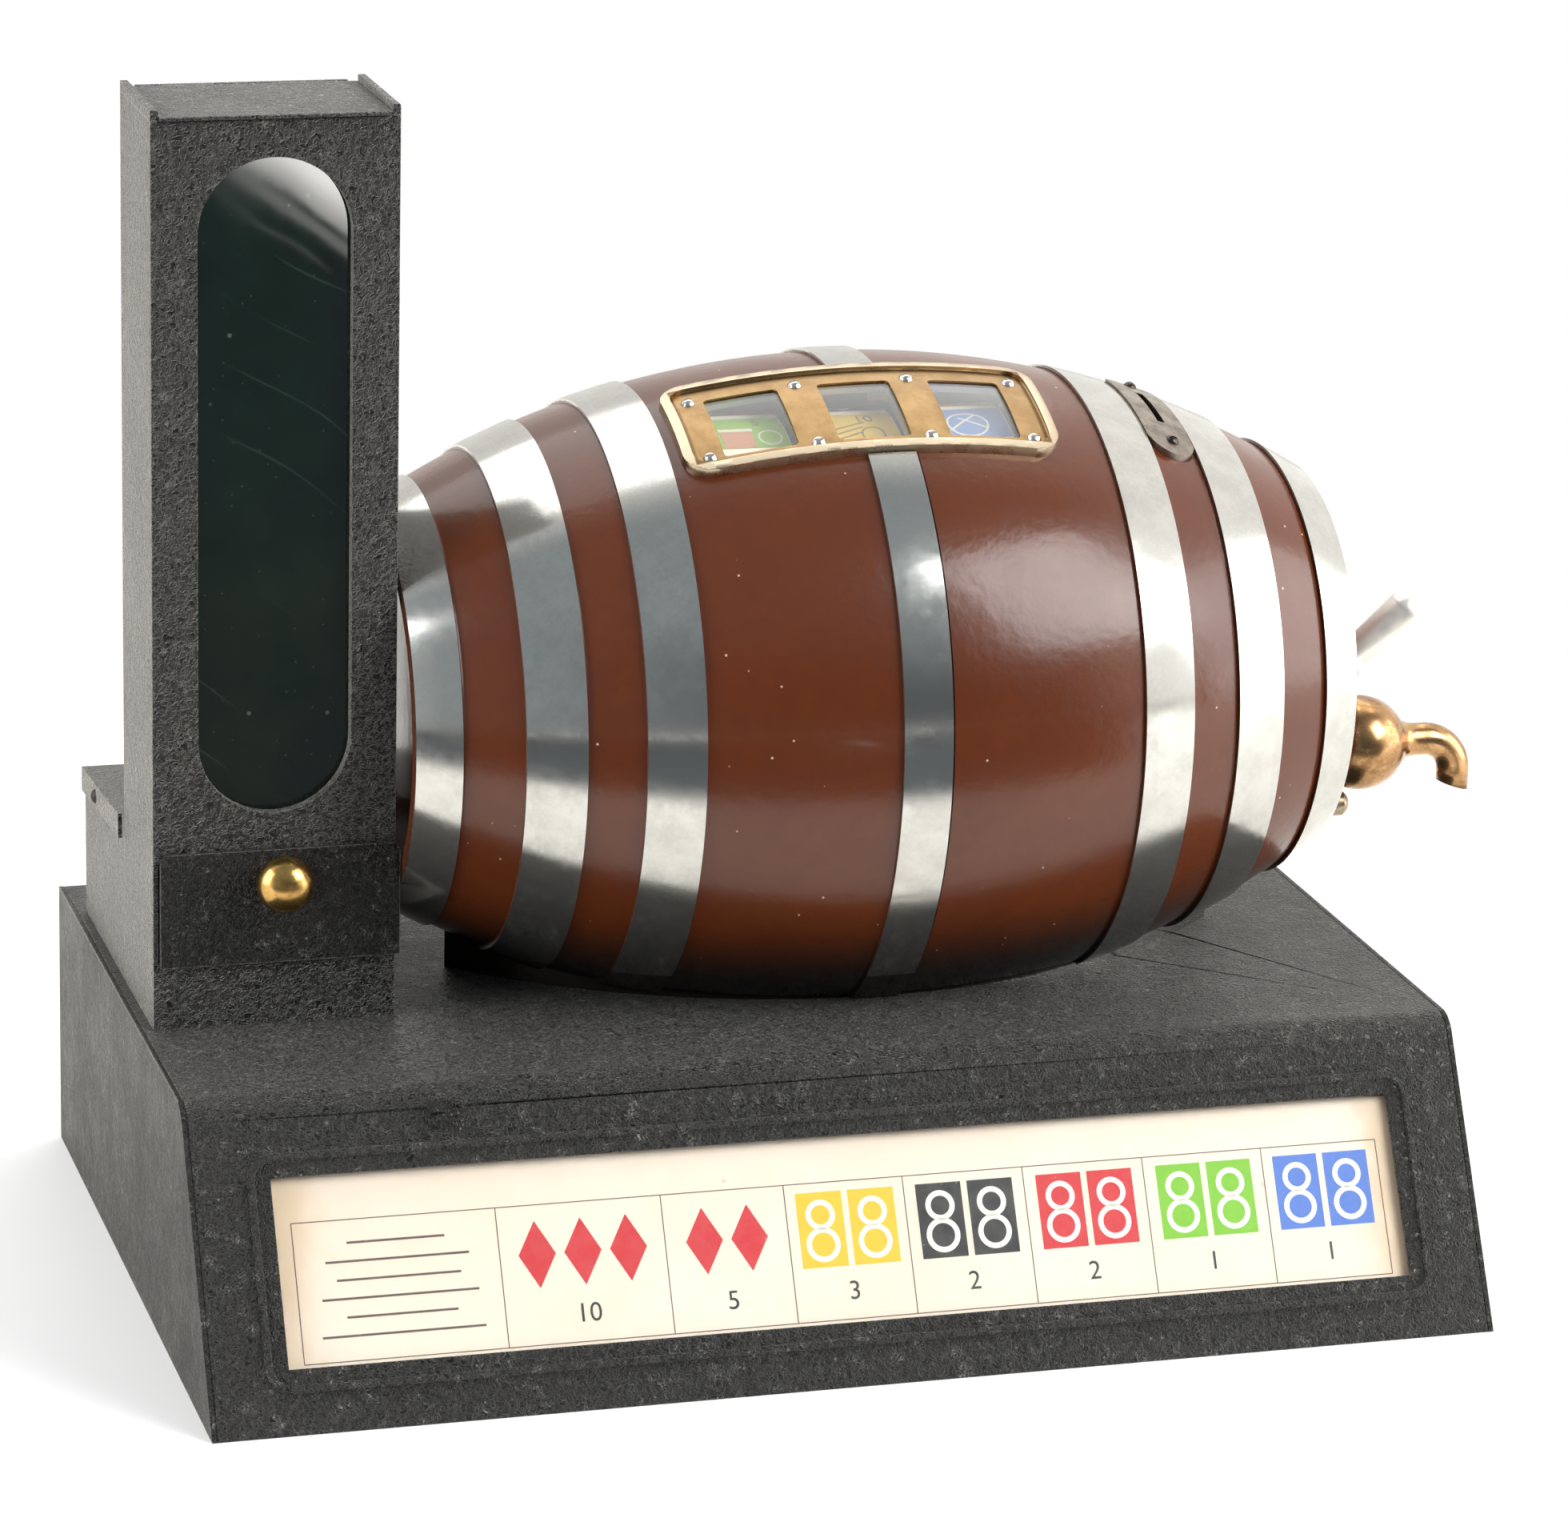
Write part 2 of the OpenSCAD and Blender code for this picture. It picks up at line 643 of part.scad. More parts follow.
module tower_glass() color([0.1, 0.2, 0.16]) {
  y = tower_y0 + tower_sheet + window_lip;
  translate([tower_xm - window_w / 2 - 4, y, base_h + window_rise - 4])
    cube([window_w + 8, pane_t, window_h + 8]);
}

module glass_retainers() color(steel) {
  y0 = tower_y0 + tower_sheet;
  y1 = y0 + window_lip + pane_t + 1.2;
  z0 = base_h + window_rise;
  edge = window_w / 2 + 4;
  for (s = [-1, 1]) {
    translate([tower_xm + s * (edge + 0.8) - 0.8, y0, z0]) cube([1.6, y1 - y0, window_h]);
    translate([tower_xm + s * (edge - 1) - 1.5, y1 - 1.2, z0]) cube([3, 1.2, window_h]);
  }
}

module tower_lid() color(black) {
  x0 = tower_x0 + hem + slack;
  w = tower_w - 2 * hem - 2 * slack;
  y0 = tower_y0 - 0.8;
  difference() {
    union() {
      rod(y0, lid_z - lid_t / 2, lid_t / 2, x0, x0 + w);
      translate([x0, y0, lid_z - lid_t]) cube([w, lid_pin_y - knuckle_r - 0.6 - y0, lid_t]);
      for (s = [-25, 9] * hinge_unit) {
        rod(lid_pin_y, lid_pin_z, knuckle_r, tower_xm + s, tower_xm + s + 16 * hinge_unit);
        translate([tower_xm + s, lid_pin_y - knuckle_r - 1, lid_z - lid_t])
          cube([16 * hinge_unit, knuckle_r + 1, lid_t]);
      }
    }
    rod(lid_pin_y, lid_pin_z, pin_d / 2 + fit, tower_x0, tower_x1);
  }
}

module lid_hinge_pin() color(steel) {
  rod(lid_pin_y, lid_pin_z, pin_d / 2, tower_xm - 33 * hinge_unit, tower_xm + 33 * hinge_unit);
}

module rear_cover() color(black) {
  t = tower_sheet;
  slab_x(tower_x0, tower_x1) polygon([[tower_y1 + 0.1, rear_z0], [rear_y1, rear_z1], [rear_y1, base_h],
    [rear_y1 - t, base_h], [rear_y1 - t, rear_z1 - t], [tower_y1 + 0.1, rear_z0 - t]]);
  difference() {
    for (x = [tower_x0 - t, tower_x1]) slab_x(x, x + t)
      polygon([[tower_y1 + 4, rear_z0 - rear_fall * 4 / rear_len], [rear_y1, rear_z1],
        [rear_y1, rear_z1 - 8], [tower_y1 + 4, rear_z0 - 8 - rear_fall * 4 / rear_len]]);
    rod(rear_y1 - 25, rear_z1 - 2.6, 1.2, tower_x0 - 5, tower_x1 + 5);
  }
}

module rear_cover_screws() color(steel) {
  t = tower_sheet;
  for (s = [-1, 1]) translate([tower_xm + s * (tower_w / 2 + t), rear_y1 - 25, rear_z1 - 2.6])
    rotate([0, s * 90, 0]) {
      intersection() {
        cylinder(r = 2.4, h = 2, $fn = 48);
        translate([0, 0, -1.4]) sphere(r = 2.8, $fn = 64);
      }
      translate([0, 0, -t]) cylinder(r = 1.2, h = t + eps, $fn = 48);
    }
}

module slide_bed() color(steel) {
  x0 = tower_x0 + tower_sheet + 0.1;
  x1 = tower_x1 - tower_sheet - 0.1;
  y0 = tower_y0 + tower_sheet + 0.8;
  y1 = rear_y1 - tower_sheet - 0.8;
  t = tower_sheet;
  difference() {
    union() {
      translate([x0, y0, base_h]) cube([x1 - x0, y1 - y0, t]);
      for (x = [x0, x1 - t]) translate([x, y0, base_h]) cube([t, y1 - y0, bed_top - base_h]);
      translate([x0, y0, bed_top - t]) cube([7, y1 - y0, t]);
      translate([x1 - 7, y0, bed_top - t]) cube([7, y1 - y0, t]);
    }
    bolt_places(base_h - 1, 3);
  }
}

module dispenser_slide() color(steel) {
  t = tray_t;
  top = tray_z0 + tray_h;
  w = tray_x1 - tray_x0;
  difference() {
    union() {
      difference() {
        translate([tray_x0, tray_y0, tray_z0]) cube([w, pocket_y1 + t - tray_y0, tray_h]);
        translate([tray_x0 + t, pocket_y0, tray_z0 + t]) cube([w - 2 * t, pocket_d, tray_h]);
      }
      translate([tray_x0, pocket_y1, top - t]) cube([w, tray_y1 - pocket_y1, t]);
      for (x = [tray_x0, tray_x1 - t]) translate([x, pocket_y1, tray_z0]) cube([t, tray_y1 - pocket_y1, tray_h]);
    }
    translate([knob_x, tray_y0 - 1, knob_z]) rotate([-90, 0, 0]) cylinder(r = 5, h = t + 2, $fn = 48);
  }
}

module drawer_front() color(black) {
  z0 = base_h + drawer_rise;
  x = tower_xm + drawer_shift;
  difference() {
    slab_y(front_y, tray_y0) difference() {
      translate([x, z0 + drawer_h / 2]) {
        round_rect(drawer_w, drawer_h, 3);
        translate([-drawer_w / 2, -drawer_h / 2]) square([drawer_w, drawer_h / 2]);
      }
    }
    translate([knob_x, front_y - 1, knob_z]) rotate([-90, 0, 0]) cylinder(r = 2, h = drawer_t + 2, $fn = 48);
  }
}

module drawer_knob() color(brass) {
  r = knob_d / 2;
  difference() {
    translate([knob_x, front_y, knob_z]) rotate([90, 0, 0]) union() {
      cylinder(r = r * 0.62, h = 1.2, $fn = 64);
      cylinder(r = r * 0.42, h = 6, $fn = 64);
      intersection() {
        translate([0, 0, r * 0.55 + 4.5]) sphere(r = r, $fn = 128);
        translate([0, 0, 4.5]) cylinder(r = r + 1, h = r * 1.35, $fn = 64);
      }
    }
    translate([knob_x, front_y + 1, knob_z]) rotate([90, 0, 0]) cylinder(r = 2, h = 9, $fn = 48);
  }
}

module knob_screw() color(steel) {
  translate([knob_x, 0, knob_z]) rotate([90, 0, 0]) {
    translate([0, 0, -tray_y0]) cylinder(r = 2, h = drawer_t + 7, $fn = 48);
    translate([0, 0, -tray_y0 - 1.9]) difference() {
      cylinder(r = 4, h = 1.9, $fn = 64);
      translate([-5, -0.5, -1]) cube([10, 1, 1.7]);
    }
  }
}

// Half outline of the barrel between x0 and x1, its curved side moved out by o
module stave_outline(o, x0, x1) {
  intersection() {
    translate([-arc_off, 0]) circle(r = arc_r + o, $fn = 360);
    translate([0, x0]) square([far, x1 - x0]);
  }
}

// Puts an outline made of radius and length round the barrel's axis
module turned() {
  translate([barrel_x, axis_y, axis_z]) rotate([0, 90, 0]) rotate([0, 0, 180]) rotate_extrude($fn = 180) children();
}

// Solid of the barrel between x0 and x1, its curved side moved out by o
module barrel_solid(o, x0, x1) {
  turned() stave_outline(o, x0, x1);
}

// Puts children on the barrel's skin at an angle back from the top and a distance from the middle
module on_barrel(turn, dx, lift = 0) {
  b = asin(dx / arc_r);
  translate([barrel_x, axis_y, axis_z]) rotate([turn, 0, 0])
    translate([(arc_r + lift) * sin(b), 0, (arc_r + lift) * cos(b) - arc_off]) rotate([0, b, 0]) children();
}

// Prism standing out of the barrel, its outline laid along X and around the barrel
module radial_prism(turn, dx, r0, r1) {
  translate([barrel_x, axis_y, axis_z]) rotate([turn, 0, 0]) translate([dx, 0, r0])
    linear_extrude(r1 - r0) children();
}

// Plan of the foot that the barrel stands on
module foot_outline() {
  intersection() {
    translate([barrel_x, axis_y + foot_r - foot_half]) circle(r = foot_r, $fn = 360);
    translate([barrel_x, axis_y - foot_r + foot_half]) circle(r = foot_r, $fn = 360);
  }
}

// Shell of one half of the barrel between x0 and x1, with whole hoops at the places given.
// A lip of the length given stands out at x0 and centres the other half.
module barrel_shell(x0, x1, in0, in1, hoops, lip = 0) {
  difference() {
    union() {
      turned() {
        difference() {
          union() {
            stave_outline(0, x0, x1);
            for (h = hoops) stave_outline(hoop_h, h[0], h[1]);
          }
          stave_outline(-wall, in0, in1);
          translate([-1, head_out]) square([rim_r + 1, head_recess + 1]);
          translate([-1, -half_len - 1]) square([rim_r + 1, head_recess + 1]);
        }
        if (lip > 0) difference() {
          union() {
            stave_outline(-wall - 0.2, x0 - lip, x0 + eps);
            stave_outline(-wall / 2, x0, x0 + 8);
          }
          stave_outline(-wall - 3, x0 - lip - 1, x0 + 9);
        }
      }
      difference() {
        intersection() {
          translate([0, 0, base_h]) linear_extrude(foot_top) foot_outline();
          translate([barrel_x + x0, -far, 0]) cube([x1 - x0, 2 * far, far]);
        }
        barrel_solid(-wall, -head_in, head_in);
      }
      children();
    }
    translate([barrel_x - far / 2, axis_y - far / 2, base_h - far]) cube([far, far, far]);
    window_holes();
    bolt_places(base_h - 1, 7);
    barrel_screw_places() cylinder(r = 1.2, h = 14, center = true, $fn = 24);
  }
}

// One hole behind each reel window, with wall left between them for the frame's screws
module window_holes() {
  for (i = [-1, 0, 1]) radial_prism(bezel_turn, -bezel_off + i * reel_pitch, barrel_r / 2, barrel_r * 1.5)
    round_rect(view_w + 3, view_h + 3, 2.5);
}

module barrel_left() color(brown) {
  gap_front = asin((bezel_h / 2 - bezel_back + 0.3) / barrel_r);
  gap_rear = asin((bezel_h / 2 + bezel_back + 0.3) / barrel_r);
  barrel_shell(-half_len, seam_at, -head_in, seam_at + 1, [
    [-half_len, -half_len + hoop_end_w],
    [-hoop_outer_at - hoop_w / 2, -hoop_outer_at + hoop_w / 2],
    [-hoop_inner_at - hoop_w / 2, -hoop_inner_at + hoop_w / 2]])
    // Middle hoop, broken under the window frame
    translate([barrel_x, axis_y, axis_z]) rotate([bezel_turn, 0, 0]) rotate([0, 90, 0])
      rotate([0, 0, 180 + gap_front]) rotate_extrude(angle = 360 - gap_front - gap_rear, $fn = 180) difference() {
        stave_outline(hoop_h, seam_at - hoop_mid_w, seam_at);
        stave_outline(-wall / 2, seam_at - hoop_mid_w - 1, seam_at + 1);
      }
}

module barrel_right() color(brown) {
  x0 = seam_at + seam_gap;
  difference() {
    barrel_shell(x0, half_len, x0 - 1, head_in, [
      [hoop_inner_at - hoop_w / 2, hoop_inner_at + hoop_w / 2],
      [hoop_outer_at - hoop_w / 2, hoop_outer_at + hoop_w / 2],
      [half_len - hoop_end_w, half_len]], 6)
      rod(handle_y, handle_z, shaft_r + 4, barrel_x + head_in - 8, head_x + 2);
    rod(handle_y, handle_z, shaft_r + fit, barrel_x + head_in - 20, barrel_x + half_len + 5);
    rod(handle_y, spigot_z, 4, barrel_x + head_in - 20, barrel_x + half_len + 5);
    rod(handle_y - 2, spigot_z - 19.5, 2.5, barrel_x + head_in - 20, barrel_x + half_len + 5);
    radial_prism(coin_turn, coin_at, barrel_r / 2, barrel_r * 1.5) square([slot_w + 2, slot_l + 3], center = true);
    translate([chute_x - 4, axis_y - 16, base_h - 1]) cube([8, 32, foot_top]);
  }
}

// Places of the round-head screws on the barrel: eight on the window frame and two on the coin plate
module barrel_screw_places() {
  for (x = screw_cols, v = screw_rows) on_barrel(bezel_turn - asin(v / barrel_r), x - bezel_off) children();
  for (j = [-1, 1]) on_barrel(coin_turn + j * 13.6, coin_at) children();
}

module round_screw(lift) {
  translate([0, 0, lift]) difference() {
    intersection() {
      cylinder(r = 2.2, h = 2, $fn = 48);
      translate([0, 0, -0.9]) sphere(r = 2.4, $fn = 64);
    }
    translate([-3, -0.3, 0.9]) cube([6, 0.6, 2]);
  }
  translate([0, 0, -6.5]) cylinder(r = 1.2, h = lift + 6.5 + eps, $fn = 24);
}

module barrel_screws() color(steel) {
  for (x = screw_cols, v = screw_rows)
    on_barrel(bezel_turn - asin(v / barrel_r), x - bezel_off) round_screw(bezel_face);
  for (j = [-1, 1]) on_barrel(coin_turn + j * 13.6, coin_at) round_screw(coin_plate_t);
}

module reel_bezel() color(brass) {
  difference() {
    intersection() {
      radial_prism(bezel_turn, -bezel_off, barrel_r / 2, barrel_r * 1.5)
        translate([0, bezel_back]) round_rect(bezel_l, bezel_h, bezel_corner);
      difference() {
        barrel_solid(bezel_rim, -half_len, half_len);
        barrel_solid(0, -half_len - 1, half_len + 1);
      }
    }
    difference() {
      radial_prism(bezel_turn, -bezel_off, barrel_r / 2 + 1, barrel_r * 1.5 + 1)
        translate([0, bezel_back]) round_rect(bezel_l - 2 * rim_w, bezel_h - 2 * rim_w, bezel_corner - rim_w);
      barrel_solid(bezel_face, -half_len, half_len);
    }
    for (i = [-1, 0, 1]) radial_prism(bezel_turn, -bezel_off + i * reel_pitch, barrel_r / 2 + 2, barrel_r * 1.5 + 2)
      round_rect(view_w, view_h, 1.5);
    intersection() {
      radial_prism(bezel_turn, -bezel_off, barrel_r / 2 + 1, barrel_r * 1.5 + 1) pane_outline();
      barrel_solid(reel_pane_t, -half_len, half_len);
    }
    barrel_screw_places() cylinder(r = 1.2, h = 14, center = true, $fn = 24);
  }
}

// Outline of the pane behind the window frame, cut away round the screws
module pane_outline() {
  difference() {
    square([bezel_l - 2 * rim_w - 4, view_h + 8], center = true);
    for (x = screw_cols, j = [0, 1])
      translate([x, screw_rows[j] + (j - 0.5) * 2.8]) square([4.4, 8.2], center = true);
  }
}

module reel_window() color([0.85, 0.9, 0.9, 0.4]) {
  intersection() {
    radial_prism(bezel_turn, -bezel_off, barrel_r / 2, barrel_r * 1.5) pane_outline();
    difference() {
      barrel_solid(reel_pane_t, -half_len, half_len);
      barrel_solid(0, -half_len - 1, half_len + 1);
    }
  }
}

module coin_plate() color(steel) {
  difference() {
    intersection() {
      radial_prism(coin_turn, coin_at, barrel_r / 2, barrel_r * 1.5) stadium(coin_plate_w, coin_plate_l);
      difference() {
        barrel_solid(coin_plate_t, -half_len, half_len);
        barrel_solid(0, -half_len - 1, half_len + 1);
      }
    }
    radial_prism(coin_turn, coin_at, barrel_r / 2 + 1, barrel_r * 1.5 + 1) square([slot_w, slot_l], center = true);
    barrel_screw_places() cylinder(r = 1.2, h = 14, center = true, $fn = 24);
  }
}

module spigot() color(brass) {
  turn_x = ball_x + ball_d / 2 + 7;
  r = spout_d / 2;
  bore = r - 1.4;
  translate([0, handle_y, spigot_z]) difference() {
    union() {
      translate([ball_x, 0, 0]) rotate([0, 90, 0]) sphere(r = ball_d / 2, $fn = 128);
      rod(0, 0, 11, head_x, head_x + 2.5);
      rod(0, 0, 7.5, head_x + 2, ball_x);
      rod(0, 0, r + 1.6, ball_x, ball_x + ball_d / 2 + 3);
      rod(0, 0, r, ball_x, turn_x);
      translate([turn_x, 0, -spout_bend]) rotate([90, 0, 0])
        rotate_extrude(angle = 90, $fn = 128) translate([spout_bend, 0]) circle(r = r, $fn = 64);
      translate([turn_x + spout_bend, 0, -spout_bend - 7]) cylinder(r = r, h = 7, $fn = 64);
    }
    translate([turn_x + spout_bend, 0, -spout_bend - 12]) cylinder(r = bore, h = 14, $fn = 64);
    // Slanting end of the spout
    translate([turn_x + spout_bend + r, 0, -spout_bend - 6.5]) rotate([0, 17, 0])
      translate([-30, -15, -20]) cube([40, 30, 20]);
  }
}

module keg_plug() color(brass) {
  translate([head_x, handle_y - 2, spigot_z - 19.5]) rotate([0, 90, 0]) difference() {
    union() {
      cylinder(r = 4.2, h = keg_plug_l, $fn = 48);
      translate([0, 0, keg_plug_l]) intersection() {
        translate([0, 0, -2]) sphere(r = 4.65, $fn = 64);
        cylinder(r = 5, h = 5, $fn = 48);
      }
      translate([0, 0, -head_t]) cylinder(r = 2.5, h = head_t + 1, $fn = 48);
    }
    translate([-6, -0.6, keg_plug_l + 1.6]) cube([12, 1.2, 4]);
  }
}

module handle_lever() color(steel) {
  nose = 2;
  difference() {
    union() {
      rod(handle_y, handle_z, hub_d / 2, hub_x0, hub_x1 - nose);
      translate([hub_x1 - nose, handle_y, handle_z]) rotate([0, 90, 0])
        cylinder(r1 = hub_d / 2, r2 = hub_d / 2 - nose, h = nose, $fn = 64);
      translate([hub_x1 - 9, handle_y, handle_z]) rotate([0, 90 - grip_angle, 0]) {
        cylinder(r1 = grip_d0 / 2, r2 = grip_d1 / 2, h = grip_l, $fn = 96);
        translate([0, 0, grip_l]) sphere(r = grip_d1 / 2, $fn = 96);
      }
    }
    rod(handle_y, handle_z, shaft_r, hub_x0 - 1, hub_x1 - 10);
  }
}

module handle_shaft() color(steel) {
  rod(handle_y, handle_z, shaft_r, plate_x0 - 3, hub_x1 - 10);
}

module kickers() color(steel) {
  difference() {
    for (i = [-1, 0, 1]) {
      x = bezel_x + i * reel_pitch + star_off;
      rod(handle_y, handle_z, shaft_r + 3.5, x - 4, x + 4);
      translate([x - star_t / 2, handle_y, handle_z]) rotate([kick_start - 90, 0, 0])
        translate([0, -2.5, 0]) cube([star_t, 5, kick_r - 0.4]);
    }
    rod(handle_y, handle_z, shaft_r, plate_x0, plate_x1 + 20);
  }
}

module return_spring() color(steel) {
  x0 = plate_x1 + plate_t + 1;
  difference() {
    rod(handle_y, handle_z, shaft_r + 4, x0, x0 + 16);
    rod(handle_y, handle_z, shaft_r + 1, x0 - 1, x0 + 17);
  }
}

module coin_chute() color(steel) {
  top_y = axis_y - (barrel_r * 0.83) * cos(coin_angle);
  top_z = axis_z + barrel_r - 29;
  lean = atan2(axis_y - top_y, top_z - base_h);
  run = norm([axis_y - top_y, top_z - base_h]);
  in_w = slot_w + 0.4;
  in_d = slot_l + 1.4;
  t = 1.2;
  difference() {
    union() {
      translate([chute_x, axis_y, base_h]) rotate([lean, 0, 0])
        translate([-in_w / 2 - t, -in_d / 2 - t, -6]) cube([in_w + 2 * t, in_d + 2 * t, run + 6]);
      for (h = [0.25, 0.8]) translate([plate_x1 + plate_t, axis_y + h * (top_y - axis_y) - 4, base_h + h * run])
        cube([chute_x - in_w / 2 - t - plate_x1 - plate_t + 0.3, 8, 1.5]);
    }
    translate([chute_x, axis_y, base_h]) rotate([lean, 0, 0])
      translate([-in_w / 2, -in_d / 2, -10]) cube([in_w, in_d, run + 20]);
  }
}

// Side plate of the mechanism, its foot turned out to the side given
module mech_plate(x, side) {
  u = plate_unit;
  difference() {
    union() {
      slab_x(x, x + plate_t) polygon([
        [axis_y - 20 * u, base_h], [axis_y + 20 * u, base_h],
        [axis_y + 43 * u, base_h + 40 * u], [axis_y + 46 * u, base_h + 107 * u],
        [axis_y + 31.5 * u, base_h + 145 * u], [reel_y + 12, reel_z + 22], [reel_y - 20, reel_z + 16],
        [axis_y - 56 * u, base_h + 107 * u], [axis_y - 50 * u, base_h + 59 * u]]);
      translate([side < 0 ? x - 10 : x + plate_t, axis_y - 13, base_h]) cube([10, 26, plate_foot]);
    }
    rod(reel_y, reel_z, reel_shaft_d / 2, x - 1, x + plate_t + 1);
    rod(dog_y, dog_z, dog_r, x - 1, x + plate_t + 1);
    rod(handle_y, handle_z, shaft_r + fit, x - 1, x + plate_t + 1);
    rod(axis_y + 11.5 * u, axis_z - 32.5 * u, 14 * u, x - 1, x + plate_t + 1);
    bolt_places(base_h - 1, 3);
  }
}

module mech_plate_left() color(steel) mech_plate(plate_x0, -1);

module mech_plate_right() color(steel) mech_plate(plate_x1, 1);

module plate_rods() color(steel) {
  for (p = [[0, 21], [36.5, 57], [36.5, 118]])
    rod(axis_y + p[0] * plate_unit, base_h + p[1] * plate_unit, rod_d / 2, plate_x0 + plate_t, plate_x1);
}

module reel_shaft() color(steel) {
  rod(reel_y, reel_z, reel_shaft_d / 2, plate_x0 - 3, plate_x1 + plate_t + 3);
  for (i = [0, 1]) {
    x = bezel_x + (i - 1) * reel_pitch + star_off + star_t / 2 + 0.5;
    rod(reel_y, reel_z, hub_r - 1, x + slack, bezel_x + i * reel_pitch - reel_w / 2 - slack);
  }
  rod(reel_y, reel_z, hub_r - 1, plate_x0 + plate_t, bezel_x - reel_pitch - reel_w / 2 - slack);
  rod(reel_y, reel_z, hub_r - 1, bezel_x + reel_pitch + star_off + star_t / 2 + 0.5 + slack, plate_x1);
}

module dog_shaft() color(steel) {
  rod(dog_y, dog_z, dog_r, plate_x0 - 3, plate_x1 + plate_t + 3);
}

module reel(i) {
  x = bezel_x + (i - 2) * reel_pitch;
  w = reel_w / 2;
  difference() {
    union() {
      rod(reel_y, reel_z, reel_r, x - w, x + w);
      rod(reel_y, reel_z, hub_r, x - w, x + star_off + star_t / 2 + 0.5);
    }
    difference() {
      union() {
        rod(reel_y, reel_z, reel_r - 1.5, x - w - 1, x - 0.8);
        rod(reel_y, reel_z, reel_r - 1.5, x + 0.8, x + w + 1);
      }
      rod(reel_y, reel_z, hub_r, x - w - 2, x + w + 2);
    }
    for (k = [0:5]) rod(reel_y + (reel_r + hub_r) / 2 * cos(k * 60), reel_z + (reel_r + hub_r) / 2 * sin(k * 60),
      (reel_r - hub_r) / 4, x - 2, x + 2);
    rod(reel_y, reel_z, reel_shaft_d / 2 + fit, x - w - 1, x + star_off + 10);
  }
}

module reel_1() color(steel) reel(1);

module reel_2() color(steel) reel(2);

module reel_3() color(steel) reel(3);

module reel_strip(i) {
  x = bezel_x + (i - 2) * reel_pitch;
  difference() {
    rod(reel_y, reel_z, reel_r + strip_t, x - reel_w / 2, x + reel_w / 2);
    rod(reel_y, reel_z, reel_r, x - reel_w, x + reel_w);
  }
}

module reel_strip_1() color(paper) reel_strip(1);

module reel_strip_2() color(paper) reel_strip(2);

module reel_strip_3() color(paper) reel_strip(3);

module star_wheel(i) {
  x = bezel_x + (i - 2) * reel_pitch + star_off;
  difference() {
    translate([0, reel_y, reel_z]) slab_x(x - star_t / 2, x + star_t / 2) polygon([
      for (k = [0:2 * stops - 1]) (k % 2 == 0 ? star_root : star_r)
        * [cos(k * star_turn / 2), sin(k * star_turn / 2)]]);
    rod(reel_y, reel_z, hub_r, x - 5, x + 5);
  }
}

module star_wheel_1() color(brass) star_wheel(1);

module star_wheel_2() color(brass) star_wheel(2);

module star_wheel_3() color(brass) star_wheel(3);

// Index dog: an upright lever whose nose lies in a gap of the star wheel
module index_dog(i) {
  x = bezel_x + (i - 2) * reel_pitch + star_off;
  tip = reel_y + star_root + nose_gap;
  difference() {
    union() {
      slab_x(x - star_t / 2, x + star_t / 2) polygon([
        [dog_y - 3, dog_z], [dog_y + 3, dog_z], [tip + 11.5, reel_z - 4], [tip + 10, reel_z + 4],
        [tip + 4.5, reel_z + 2.4], [tip, reel_z + 0.5], [tip, reel_z - 0.5],
        [tip + 4.5, reel_z - 2.4], [tip + 6, reel_z - 6]]);
      rod(dog_y, dog_z, dog_r + 3, x - 4, x + 4);
    }
    rod(dog_y, dog_z, dog_r + fit, x - 5, x + 5);
  }
}

module index_dog_1() color(steel) index_dog(1);

module index_dog_2() color(steel) index_dog(2);

module index_dog_3() color(steel) index_dog(3);

base_cover();
left_side_panel();
right_side_panel();
back_panel();
floor_plate();
award_card();
card_glass();
card_clamps();
front_screw();
base_bolts();
cash_box();
cash_door();
cash_hinge_pin();
cash_lock_barrel();
cash_lock_plug();
cash_lock_cam();
tower_shell();
tower_back();
tower_glass();
glass_retainers();
tower_lid();
lid_hinge_pin();
rear_cover();
rear_cover_screws();
slide_bed();
dispenser_slide();
drawer_front();
drawer_knob();
knob_screw();
barrel_left();
barrel_right();
reel_bezel();
reel_window();
barrel_screws();
coin_plate();
spigot();
keg_plug();
handle_lever();
handle_shaft();
kickers();
return_spring();
coin_chute();
mech_plate_left();
mech_plate_right();
plate_rods();
reel_shaft();
dog_shaft();
reel_1();
reel_2();
reel_3();
reel_strip_1();
reel_strip_2();
reel_strip_3();
star_wheel_1();
star_wheel_2();
star_wheel_3();
index_dog_1();
index_dog_2();
index_dog_3();
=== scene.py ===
"""Looks of a trade stimulator: a barrel with three reels on a sloped steel base, with a dispenser tower."""
from __future__ import annotations

import json
import logging
import math
from abc import ABC, abstractmethod
from dataclasses import dataclass, field
from enum import Enum
from typing import ClassVar, Iterable

import bmesh
import bpy
from mathutils import Euler, Matrix, Vector

